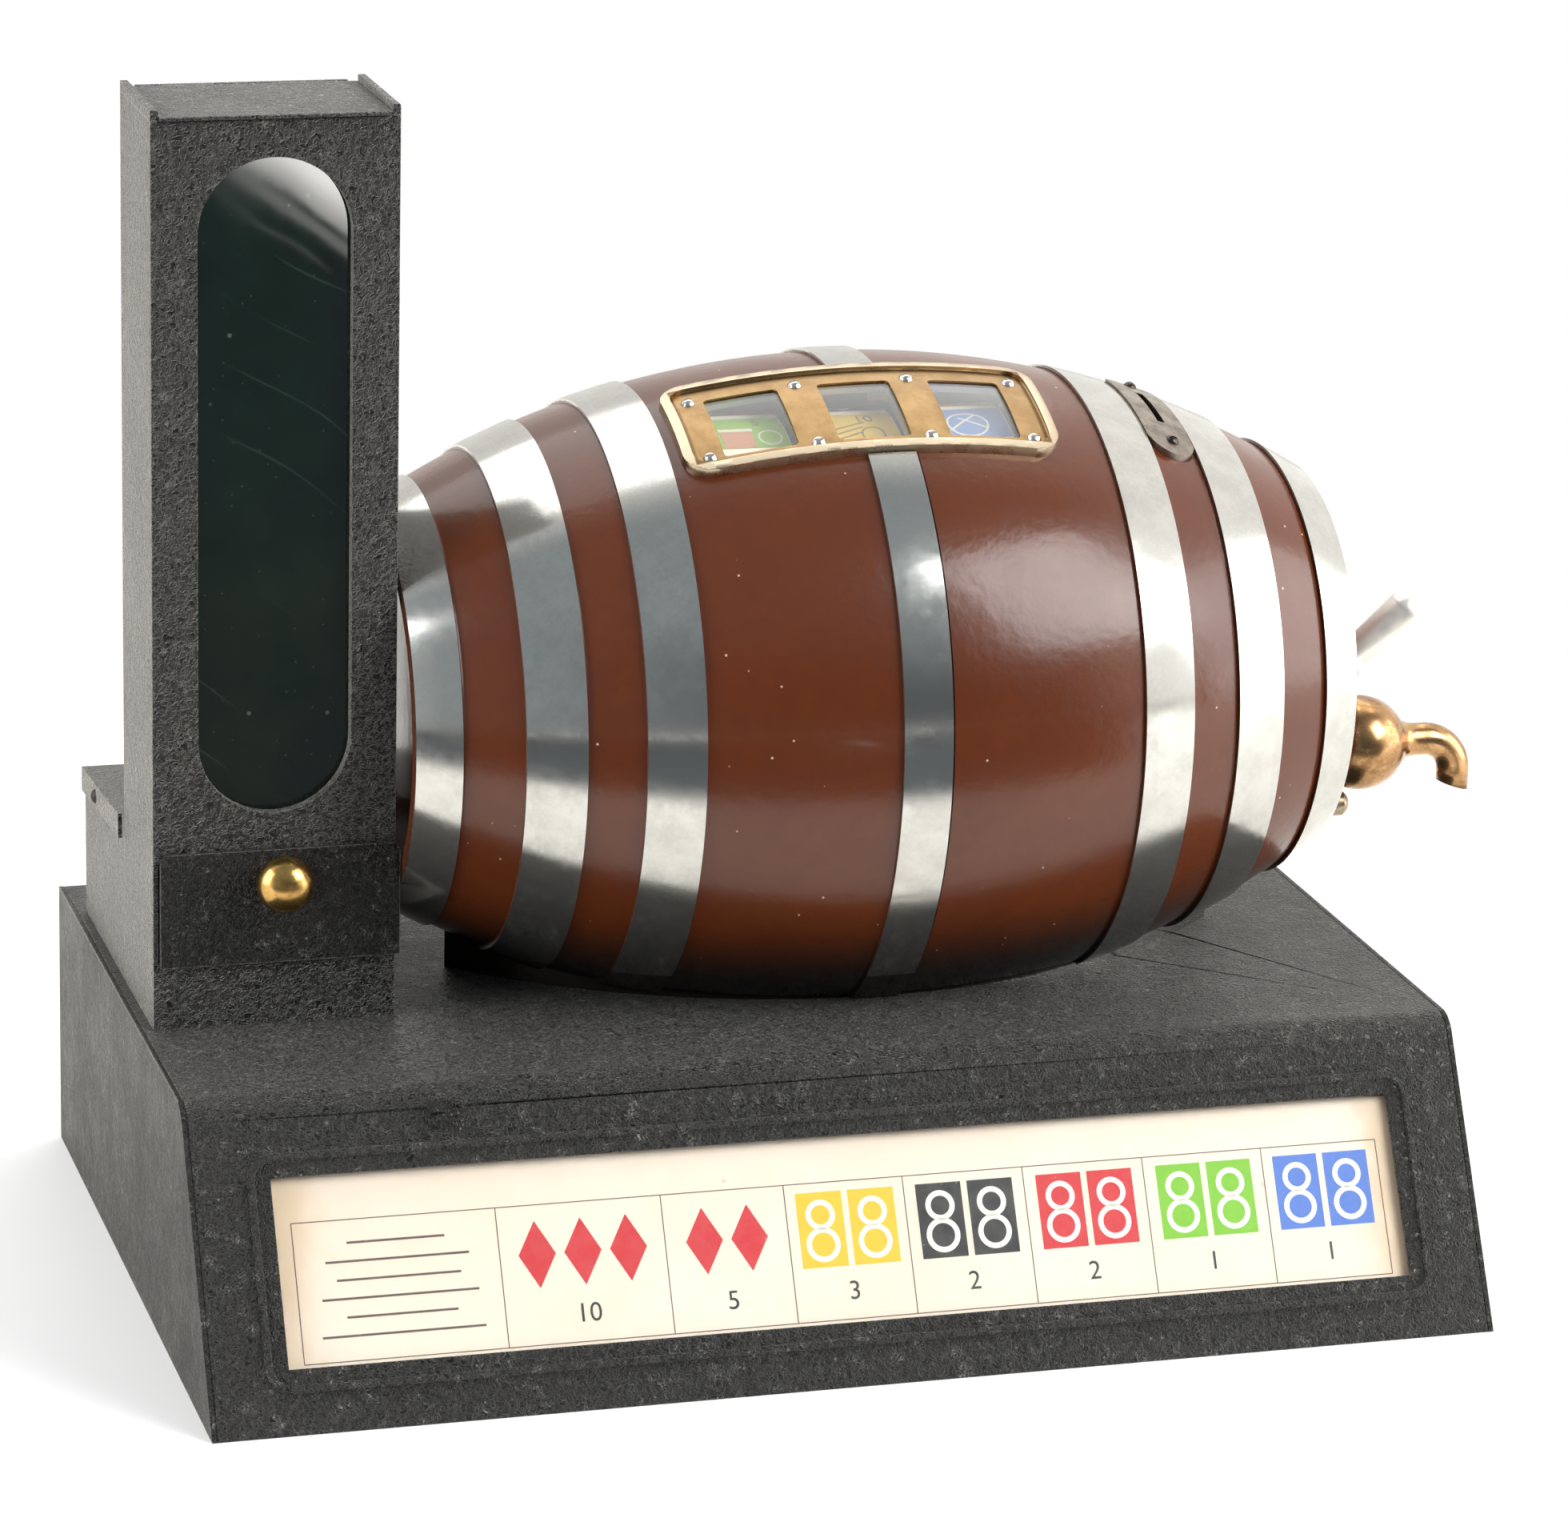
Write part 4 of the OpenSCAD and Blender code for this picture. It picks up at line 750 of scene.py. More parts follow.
@dataclass(frozen=True)
class Paper(Finish):
    """Aged card or paper, yellowed towards its ends, with fibres and small stains."""

    sheet: Tone = tone(248, 230, 214)
    aged: Tone = tone(224, 194, 160)
    spot: Tone = tone(190, 150, 110)
    reach: float = 178.0
    centre: float = 0.0
    fibre: float = 0.35

    def shade(self, g: Graph) -> dict:
        """Fibre grain, yellowed ends and soft stains.

        Args:
            g: Graph of the material.

        Returns:
            The shader's inputs by name.
        """
        at = g.place()
        x = g.gap(g.parts(at)[0], self.centre * MM)
        stain = g.effect(Effect.CLOUD, at, 38)
        edge = g.plus(x, g.times(stain, 9 * MM))
        edge = g.step(edge, (self.reach - 14) * MM, (self.reach + 6) * MM)
        color = g.lay(self.sheet, edge, 0.75, self.aged)
        color = g.lay(color, stain, 0.16, self.aged)
        spots = g.effect(Effect.SPECK, at, 1.6, share=0.03)
        color = g.lay(color, spots, 0.35, self.spot)
        return {
            "Base Color": color,
            "Roughness": g.between(stain, 0.62, 0.78),
            "Normal": g.bump(g.noise(at, self.fibre, 3.0, 0.7), 0.02),
        }


@dataclass(frozen=True)
class PrintInk(Finish):
    """Flat printing ink, a little uneven and rubbed."""

    ink: Ink = Ink.BLACK
    faded: float = 0.0
    age: Point = (132, 118, 92)
    paper: Tone = tone(246, 232, 214)
    rubbed: Tone = tone(240, 226, 208)

    def shade(self, g: Graph) -> dict:
        """Ink tone with thin places where the paper shows.

        Args:
            g: Graph of the material.

        Returns:
            The shader's inputs by name.
        """
        at = g.place()
        thin = g.effect(Effect.CLOUD, at, 5)
        rubbed = g.effect(Effect.SPECK, at, 0.4, share=0.06)
        own = tone(*(v + self.faded * (old - v) for v, old in zip(self.ink.value, self.age)))
        color = g.lay(g.lay(own, thin, 0.05, self.paper), rubbed, 0.4, self.rubbed)
        normal = g.bump(g.noise(at, 0.3, 2.0), 0.008)
        return {"Base Color": color, "Roughness": g.between(thin, 0.45, 0.6), "Normal": normal}


def stand(name: str, data: bpy.types.ID) -> bpy.types.Object:
    """Stands an object in the scene.

    Args:
        name: Its name.
        data: Its mesh, curve, lamp or camera.

    Returns:
        The object.
    """
    made = bpy.data.objects.new(name, data)
    bpy.context.scene.collection.objects.link(made)
    return made


class Parts:
    """The machine's own parts, as they come from the drawing."""

    def __init__(self, frame: dict) -> None:
        """Keeps the parts by name."""
        self.nodes: dict[str, bpy.types.Object] = frame["nodes"]

    def dress(self, finish: Finish, *names: str, soften: float = 0.0) -> None:
        """Gives parts a finish.

        Args:
            finish: The finish to put on.
            names: The parts' names.
            soften: Radius in millimetres taken off sharp edges, or 0.
        """
        made = finish.material()
        for name in names:
            part = self.nodes[name]
            for socket in part.material_slots:
                socket.material = made
            if soften:
                self.soften(part, soften)
            log.info("%s dressed as %s", name, finish.name)

    @staticmethod
    def soften(part: bpy.types.Object, radius: float) -> None:
        """Rounds a part's sharp edges so that they catch the light.

        Args:
            part: The part.
            radius: Radius in millimetres.
        """
        weld = part.modifiers.new("merge", "WELD")
        weld.merge_threshold = 0.001 * MM
        edge = part.modifiers.new("round", "BEVEL")
        edge.width = radius * MM
        edge.segments = 2
        edge.limit_method = "ANGLE"
        edge.angle_limit = math.radians(40)
        edge.harden_normals = False
        edge.miter_outer = "MITER_ARC"


@dataclass
class Print:
    """Flat shapes of ink, drawn in millimetres in the paper's own plane and then laid on it."""

    name: str
    inks: list[Ink] = field(default_factory=list)
    mesh: bmesh.types.BMesh = field(default_factory=bmesh.new)

    def _mark(self, verts: list, ink: Ink, at: Matrix) -> None:
        """Puts new vertices in place and gives their faces an ink.

        Args:
            verts: The new vertices.
            ink: The ink.
            at: Where they go on the paper.
        """
        if ink not in self.inks:
            self.inks.append(ink)
        bmesh.ops.transform(self.mesh, matrix=at, verts=verts)
        for face in {f for v in verts for f in v.link_faces}:
            face.material_index = self.inks.index(ink)
            if face.normal.z < 0:
                face.normal_flip()

    def _slab(self, ink: Ink, at: Matrix, w: float, h: float) -> None:
        """Draws a filled rectangle in a place."""
        made = bmesh.ops.create_grid(self.mesh, x_segments=1, y_segments=1, size=0.5)["verts"]
        self._mark(made, ink, at @ Matrix.Diagonal((w, h, 1, 1)))

    def panel(self, ink: Ink, x: float, y: float, w: float, h: float, lift: float = 0.0) -> None:
        """Draws a filled rectangle about a centre."""
        self._slab(ink, Matrix.Translation((x, y, lift)), w, h)

    def bar(self, ink: Ink, start: Pair, stop: Pair, wide: float, lift: float = 0.0) -> None:
        """Draws a straight bar.

        Args:
            ink: The ink.
            start: Where it starts.
            stop: Where it stops.
            wide: Its width.
            lift: How far it lies above the paper.
        """
        run = Vector(stop) - Vector(start)
        at = Matrix.Translation((*((Vector(start) + Vector(stop)) / 2), lift))
        self._slab(ink, at @ Matrix.Rotation(math.atan2(run.y, run.x), 4, "Z"), run.length, wide)

    def disc(self, ink: Ink, x: float, y: float, w: float, h: float, lift: float = 0, sides: int = 40) -> None:
        """Draws a filled round or, with four sides, a diamond."""
        made = bmesh.ops.create_circle(self.mesh, cap_ends=True, radius=0.5, segments=sides)["verts"]
        self._mark(made, ink, Matrix.Translation((x, y, lift)) @ Matrix.Diagonal((w, h, 1, 1)))

    def ring(self, ink: Ink, x: float, y: float, outer: float, inner: float, lift: float = 0.0) -> None:
        """Draws a ring by spinning its width about the middle.

        Args:
            ink: The ink.
            x: Centre across the paper.
            y: Centre up the paper.
            outer: Its outer radius.
            inner: Its inner radius.
            lift: How far it lies above the paper.
        """
        ends = [self.mesh.verts.new((r, 0, 0)) for r in (inner, outer)]
        edge = self.mesh.edges.new(ends)
        spin = {"cent": (0, 0, 0), "axis": (0, 0, 1), "angle": math.tau, "steps": 40, "use_merge": True}
        bmesh.ops.spin(self.mesh, geom=[*ends, edge], **spin)
        seen, reach = set(ends), [v for v in ends if v.is_valid]
        while reach:
            here = reach.pop()
            seen.add(here)
            reach.extend(v for e in here.link_edges for v in e.verts if v not in seen)
        self._mark([v for v in seen if v.is_valid], ink, Matrix.Translation((x, y, lift)))

    def number(self, ink: Ink, words: str, x: float, y: float, size: float, lift: float = 0.0) -> None:
        """Draws a number about a centre.

        Args:
            ink: The ink.
            words: Its digits.
            x: Centre across the paper.
            y: Centre up the paper.
            size: Height of the type.
            lift: How far it lies above the paper.
        """
        curve = bpy.data.curves.new("digits", "FONT")
        curve.body, curve.size, curve.align_x, curve.align_y = words, size, "CENTER", "CENTER"
        holder = stand("digits", curve)
        drawn = bpy.data.meshes.new_from_object(holder.evaluated_get(bpy.context.evaluated_depsgraph_get()))
        before = set(self.mesh.verts)
        self.mesh.from_mesh(drawn)
        made = [v for v in self.mesh.verts if v not in before]
        self._mark(made, ink, Matrix.Translation((x, y, lift)))
        bpy.data.objects.remove(holder)
        bpy.data.curves.remove(curve)
        bpy.data.meshes.remove(drawn)

    def wrap(self, radius: float, pitch: float = 1.5) -> None:
        """Cuts the shapes into strips and rolls them round an axis along X, with Y running round it.

        Args:
            radius: Radius of the roll.
            pitch: Width of a strip.
        """
        low = min(v.co.y for v in self.mesh.verts)
        high = max(v.co.y for v in self.mesh.verts)
        for k in range(int(low / pitch), int(high / pitch) + 1):
            geom = [*self.mesh.verts, *self.mesh.edges, *self.mesh.faces]
            bmesh.ops.bisect_plane(self.mesh, geom=geom, plane_co=(0, k * pitch, 0), plane_no=(0, 1, 0))
        for vert in self.mesh.verts:
            turn = vert.co.y / radius
            out = radius + vert.co.z
            vert.co = Vector((vert.co.x, out * math.sin(turn), out * math.cos(turn)))

    def lay(self, at: Matrix, body: Body, slot: Slot, faded: float = 0.0) -> bpy.types.Object:
        """Gives the ink its thickness and lays it on the paper.

        Args:
            at: Frame of the paper, in metres.
            body: What the paper moves with.
            slot: Finish of the paper in the parts list; not used.
            faded: How far the inks have gone brown, from 0 to 1.

        Returns:
            The printed piece.
        """
        self.mesh.normal_update()
        bmesh.ops.solidify(self.mesh, geom=list(self.mesh.faces), thickness=-0.015)
        bmesh.ops.transform(self.mesh, matrix=at @ Matrix.Scale(MM, 4), verts=self.mesh.verts)
        bmesh.ops.recalc_face_normals(self.mesh, faces=self.mesh.faces)
        age = "faded " if faded else ""
        finishes = [PrintInk(f"{age}ink {ink.name.lower()}", ink, faded) for ink in self.inks]
        return place_piece(self.name, self.mesh, [f.material() for f in finishes], body, smooth=False)


def place_piece(
    name: str,
    mesh: bmesh.types.BMesh,
    materials: list[bpy.types.Material],
    body: Body,
    at: Matrix | None = None,
    smooth: bool = True,
) -> bpy.types.Object:
    """Makes an object of a finished mesh and joins it to its body.

    Args:
        name: Name of the piece.
        mesh: The mesh, in metres in the machine's frame, or in millimetres in a frame of its own.
        materials: Its materials.
        body: What it moves with.
        at: Its own frame, if it has one.
        smooth: Whether its faces are shaded smooth.

    Returns:
        The new object.
    """
    if at is not None:
        bmesh.ops.recalc_face_normals(mesh, faces=mesh.faces)
        bmesh.ops.transform(mesh, matrix=at @ Matrix.Scale(MM, 4), verts=mesh.verts)
    data = bpy.data.meshes.new(name)
    mesh.to_mesh(data)
    mesh.free()
    for material in materials:
        data.materials.append(material)
    for face in data.polygons:
        face.use_smooth = smooth
    piece = stand(name, data)
    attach(piece, body.value)
    log.info("%s added to %s", name, body.value)
    return piece


def turned(outline: Iterable[Pair], axis: str, steps: int, closed: bool = False) -> bmesh.types.BMesh:
    """Turns an outline about an axis, as on a lathe.

    Args:
        outline: Places along the axis, each with its radius, in millimetres.
        axis: X or Z.
        steps: Number of steps in the full turn.
        closed: Whether the outline runs back to its start.

    Returns:
        The mesh, in millimetres.
    """
    mesh = bmesh.new()
    verts = [mesh.verts.new((along, 0, r) if axis == "X" else (r, 0, along)) for along, r in outline]
    edges = [mesh.edges.new((verts[k - 1], verts[k])) for k in range(0 if closed else 1, len(verts))]
    spin = {"cent": (0, 0, 0), "angle": math.tau, "steps": steps, "use_merge": True}
    bmesh.ops.spin(mesh, geom=[*verts, *edges], axis=Matrix.Identity(3)["XYZ".index(axis)], **spin)
    bmesh.ops.remove_doubles(mesh, verts=mesh.verts, dist=MERGE)
    return mesh


ZINC = Metal("zinc plate", tone(196, 196, 192), tone(128, 128, 124), 0.42, tarnish=0.6)
STEEL = Metal("works steel", tone(178, 178, 176), tone(110, 110, 110), 0.38, tarnish=0.6)


@dataclass
class BaseCabinet:
    """Sloped sheet-steel base with its cash box, door and lock."""

    width: float = 402.8
    outer: float = 406.0
    depth: float = 266.0
    height: float = 88.0

    def dress(self, parts: Parts) -> None:
        """Puts wrinkle enamel on the sheets and plain metal on the fittings.

        Args:
            parts: The machine's own parts.
        """
        cover = Wrinkle("cover enamel", box=self.box(self.width), wear=0.6, sheen=0.3)
        parts.dress(cover, "base_cover", soften=0.35)
        side = Wrinkle("side enamel", box=self.box(self.outer), wear=0.9, sheen=0.0)
        parts.dress(side, "left_side_panel", "right_side_panel", "back_panel")
        parts.dress(Wrinkle("plain enamel"), "floor_plate", "front_screw", "cash_box", "cash_door")
        parts.dress(ZINC, "base_bolts", "card_clamps", "cash_hinge_pin", "cash_lock_cam")
        lock = Metal("lock brass", tone(224, 190, 120), tone(150, 112, 64), 0.28, cloud=5.0)
        parts.dress(lock, "cash_lock_barrel", "cash_lock_plug")

    def box(self, width: float) -> Box:
        """Box of the base at a width."""
        return ((-width / 2, -self.depth / 2, 0), (width / 2, self.depth / 2, self.height))


@dataclass
class AwardCard:
    """Printed card behind glass in the slope of the base."""

    origin: Point = (0.0, -83.0, 88.0)
    slope: float = 60.4
    left: float = -172.7
    right: float = 173.3
    top: float = 37.5
    foot: float = 80.0
    dividers: tuple[float, ...] = (-110.2, -58.7, -19.9, 18.1, 56.8, 95.9, 135.1)
    counts: tuple[str, ...] = ("10", "5", "3", "2", "2", "1", "1")
    rules: tuple[float, ...] = (30, 44, 38, 48, 34, 50)
    colours: tuple[Ink, ...] = (Ink.YELLOW, Ink.BLACK, Ink.RED, Ink.GREEN, Ink.BLUE)
    figures_at: float = -52.6
    counts_at: float = -71.5
    print_at: float = -3.47
    pane: Point = (364.6, 66.1, 1.8)
    pane_at: Point = (0.0, -52.55, -2.42)

    def frame(self, at: Point = (0.0, 0.0, 0.0)) -> Matrix:
        """Frame of the slope: X along the base, Y up the slope, Z outwards.

        Args:
            at: Place on the slope in millimetres.

        Returns:
            The frame at that place.
        """
        turn = Euler((math.radians(self.slope), 0, 0)).to_matrix().to_4x4()
        return Matrix.Translation(Vector(self.origin) * MM) @ turn @ Matrix.Translation(Vector(at) * MM)

    def dress(self, parts: Parts) -> None:
        """Finishes the card."""
        parts.dress(Paper("card stock"), "award_card")

    def build(self) -> None:
        """Prints the table of counts and sets the glass over it."""
        ink = Print("card_print")
        middle = (self.left + self.right) / 2
        ink.panel(Ink.LINE, middle, -self.top, self.right - self.left, 0.3)
        for x in (self.left, *self.dividers, self.right):
            ink.panel(Ink.LINE, x, -(self.top + self.foot) / 2, 0.3, self.foot - self.top)
        ink.panel(Ink.LINE, middle, -self.foot, self.right - self.left, 0.3)
        for row, length in enumerate(self.rules):
            ink.panel(Ink.LINE, (self.left + self.dividers[0]) / 2, -44.5 - row * 5.6, length, 0.7)
        edges = (*self.dividers, self.right)
        for cell, count in enumerate(self.counts):
            self._cell(ink, cell, count, (edges[cell] + edges[cell + 1]) / 2)
        ink.lay(self.frame((0, 0, self.print_at)), Body.CABINET, Slot.CARD)
        pane = bmesh.new()
        made = bmesh.ops.create_cube(pane, size=1.0)["verts"]
        bmesh.ops.transform(pane, matrix=Matrix.Diagonal((*(v * MM for v in self.pane), 1)), verts=made)
        round_off = {"offset": 0.2 * MM, "affect": "EDGES", "segments": 2, "profile": 0.5, "material": -1}
        bmesh.ops.bevel(pane, geom=list(pane.edges), **round_off)
        bmesh.ops.transform(pane, matrix=self.frame(self.pane_at), verts=pane.verts)
        glass = Glass("card pane", tone(252, 253, 252)).material()
        piece = place_piece("card_pane", pane, [glass], Body.CABINET, smooth=False)
        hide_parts("card_glass")

    def _cell(self, ink: Print, cell: int, count: str, x: float) -> None:
        """Prints one count with its figures above it.

        Args:
            ink: The print.
            cell: Number of the cell.
            count: What stands in it.
            x: Centre of the cell.
        """
        if cell < 2:
            figures = 3 - cell
            for k in range(figures):
                ink.disc(Ink.RED, x + (k - (figures - 1) / 2) * 14.2, self.figures_at, 11.6, 20.5, sides=4)
        else:
            high = self.figures_at + 0.6
            for at in (x - 8.3, x + 8.3):
                ink.panel(self.colours[cell - 2], at, high, 14.6, 23.2)
                for k, size in ((1, 4.7), (-1, 5.4)):
                    ink.ring(Ink.WHITE, at, high + k * 4.6, size, size - 1.7, 0.03)
        ink.number(Ink.BLACK, count, x, self.counts_at, 8.2)


@dataclass
class CoinTower:
    """Tall sheet-steel column with a glass front, a hinged lid and a rear box."""

    box: Box = ((-198.6, -15.6, 88.0), (-122.8, 34.4, 371.8))
    rear: Box = ((-198.6, 34.4, 88.0), (-122.8, 105.4, 142.0))

    def dress(self, parts: Parts) -> None:
        """Enamel outside, green glass in front, zinc inside.

        Args:
            parts: The machine's own parts.
        """
        column = Wrinkle("tower enamel", box=self.box, wear=0.45, sheen=0.75)
        parts.dress(column, "tower_shell", "tower_back", soften=0.3)
        parts.dress(Wrinkle("lid enamel", sheen=0.55), "tower_lid", soften=0.3)
        rear = Wrinkle("rear box enamel", box=self.rear, wear=0.45, sheen=1.0)
        parts.dress(rear, "rear_cover", soften=0.3)
        parts.dress(TowerGlass("green glass"), "tower_glass")
        parts.dress(ZINC, "glass_retainers", "lid_hinge_pin")
        parts.dress(Metal("blackened screw", tone(70, 68, 64), tone(34, 33, 32), 0.4), "rear_cover_screws")


@dataclass
class Dispenser:
    """Sliding drawer at the foot of the tower, with its brass knob."""

    knob: Point = (-159.3, -17.6, 136.0)
    ball: float = 9.0
    flat: float = 0.86
    reach: float = 15.3
    front: Box = ((-196.7, -17.6, 108.6), (-121.7, -15.8, 145.0))
    collar: ClassVar[tuple[Pair, ...]] = ((0, 0), (0, 5.2), (0.5, 5.4), (1.2, 4.9), (1.5, 3.7), (3.2, 3.5))

    def dress(self, parts: Parts) -> None:
        """Enamel front and zinc tray.

        Args:
            parts: The machine's own parts.
        """
        parts.dress(Wrinkle("drawer enamel", box=self.front, wear=0.4), "drawer_front", soften=0.4)
        tray = Metal("tray zinc", tone(190, 190, 186), tone(124, 124, 120), 0.4, tarnish=0.6)
        parts.dress(tray, "slide_bed", "dispenser_slide", "knob_screw")

    def build(self) -> None:
        """Turns the ball knob on its collar."""
        high = self.ball * self.flat
        turns = [math.radians(-62 + k * 152 / 18) for k in range(18)]
        ball = [(self.reach - high + high * math.sin(turn), self.ball * math.cos(turn)) for turn in turns]
        mesh = turned((*self.collar, *ball, (self.reach, 0.0)), "Z", 64)
        at = Matrix.Translation(Vector(self.knob) * MM) @ Matrix.Rotation(math.pi / 2, 4, "X")
        brass = Metal("knob brass", tone(212, 172, 104), tone(156, 118, 64), 0.2, 5.0, tarnish=0.7, spread=0.08)
        piece = place_piece("ball_knob", mesh, [brass.material()], Body.DRAWER, at)
        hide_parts("drawer_knob")


@dataclass
class Barrel:
    """Cast barrel in two halves, with polished hoops, a coin plate and a plug."""

    screws_dark_from: float = 112.0

    def dress(self, parts: Parts) -> None:
        """Gloss paint and polished hoops, steel coin plate, nickel screws, brass plug.

        Args:
            parts: The machine's own parts.
        """
        parts.dress(StavePaint("stave paint"), "barrel_left", "barrel_right")
        plate = Metal("coin plate steel", tone(160, 150, 138), tone(96, 87, 79), 0.34, cloud=6.0, tarnish=0.7)
        parts.dress(plate, "coin_plate")
        dark = self.screws_dark_from
        screw = Metal("nickel screw", tone(226, 224, 220), tone(150, 146, 140), 0.2, 3.0, dark_from=dark)
        parts.dress(screw, "barrel_screws")
        plug = Metal("plug brass", tone(176, 160, 134), tone(108, 94, 74), 0.3, cloud=3.0, tarnish=0.7)
        parts.dress(plug, "keg_plug")


@dataclass
class Spigot:
    """Brass tap on the barrel's right head: ball, flared neck and bent spout."""

    axis: Pair = (-2.0, 154.0)
    head: float = 178.6
    ball_at: float = 200.0
    ball: float = 15.4
    turn_at: float = 222.4
    bend: float = 11.0
    spout: float = 5.3
    drop: float = 7.0
    slant: float = 17.0
    wall: float = 1.3
    bore: float = 6.0
    neck: ClassVar[tuple[Pair, ...]] = ((0.9, 2.15), (2.1, 1.15), (3.4, 0.5), (4.9, 0.15), (6.6, 0.0))

    def profile(self) -> list[Pair]:
        """Outline of flange, neck, ball and flare.

        Returns:
            Places along the tap, each with its radius.
        """
        head, ball = self.head, self.ball
        points = [(head, 0.0), (head, 10.8), (head + 0.3, 11.0), (head + 2.2, 11.0), (head + 2.5, 10.7)]
        points += [(head + 2.9, 7.9), (head + 3.6, 7.5)]
        for k in range(33):
            turn = math.radians(150.9 - k * 117.9 / 32)
            points.append((self.ball_at + ball * math.cos(turn), ball * math.sin(turn)))
        points += [(points[-1][0] + along, self.spout + out) for along, out in self.neck]
        return [*points, (self.turn_at, self.spout)]

    def build(self) -> None:
        """Turns the body, sweeps the bend and hollows the spout's slanting end."""
        mesh = turned(self.profile(), "X", 64)
        ring = [e for e in mesh.edges if e.is_boundary]
        geom = [*{v for e in ring for v in e.verts}, *ring]
        cent = (self.turn_at, 0, -self.bend)
        made = bmesh.ops.spin(mesh, geom=geom, axis=(0, 1, 0), cent=cent, angle=math.pi / 2, steps=24)
        ring = [e for e in made["geom_last"] if isinstance(e, bmesh.types.BMEdge)]
        grown = bmesh.ops.extrude_edge_only(mesh, edges=ring)["geom"]
        moved = [v for v in grown if isinstance(v, bmesh.types.BMVert)]
        bmesh.ops.translate(mesh, vec=(0, 0, -self.drop), verts=moved)
        bmesh.ops.remove_doubles(mesh, verts=mesh.verts, dist=MERGE)
        self._cut_end(mesh)
        brass = Metal("spigot brass", tone(198, 158, 112), tone(130, 94, 62), 0.2, 7.0, tarnish=0.8)
        at = Matrix.Translation(Vector((0, *self.axis)) * MM)
        piece = place_piece("spigot_tap", mesh, [brass.material()], Body.CABINET, at)
        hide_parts("spigot")

    def _cut_end(self, mesh: bmesh.types.BMesh) -> None:
        """Cuts the spout's end on the slant and sinks its bore.

        Args:
            mesh: The tap, in millimetres.
        """
        tilt = math.radians(self.slant)
        at = (self.turn_at + self.bend + self.spout, 0, -self.bend - self.drop + 0.5)
        normal = (-math.sin(tilt), 0, -math.cos(tilt))
        verts = {v for v in mesh.verts if v.co.x > self.turn_at + 2 and v.co.z < -self.bend * 0.6}
        edges = [e for e in mesh.edges if verts.issuperset(e.verts)]
        faces = [f for f in mesh.faces if verts.issuperset(f.verts)]
        geom = [*verts, *edges, *faces]
        bmesh.ops.bisect_plane(mesh, geom=geom, plane_co=at, plane_no=normal, clear_outer=True)
        bmesh.ops.holes_fill(mesh, edges=[e for e in mesh.edges if e.is_boundary], sides=0)
        end = [f for f in mesh.faces if len(f.verts) > 30 and f.calc_center_median().x > self.turn_at]
        bmesh.ops.inset_region(mesh, faces=end, thickness=self.wall, use_boundary=True, use_even_offset=True)
        sunk = bmesh.ops.extrude_face_region(mesh, geom=end)["geom"]
        bmesh.ops.delete(mesh, geom=end, context="FACES_ONLY")
        bore = [v for v in sunk if isinstance(v, bmesh.types.BMVert)]
        bmesh.ops.translate(mesh, vec=(0, 0, self.bore), verts=bore)


@dataclass
class ReelWindow:
    """Brass frame and panes over the reels."""

    def dress(self, parts: Parts) -> None:
        """Two-tone brass and clear glass."""
        parts.dress(FrameBrass("window frame brass"), "reel_bezel", soften=0.5)
        parts.dress(Glass("reel pane", tone(250, 252, 250)), "reel_window")


class Figure(Enum):
    """What a reel stop shows."""

    BARS = "bars"
    TEN = "ten"
    DISC = "disc"
    DIAMOND = "diamond"
    RINGS = "rings"
    BLOCK = "block"


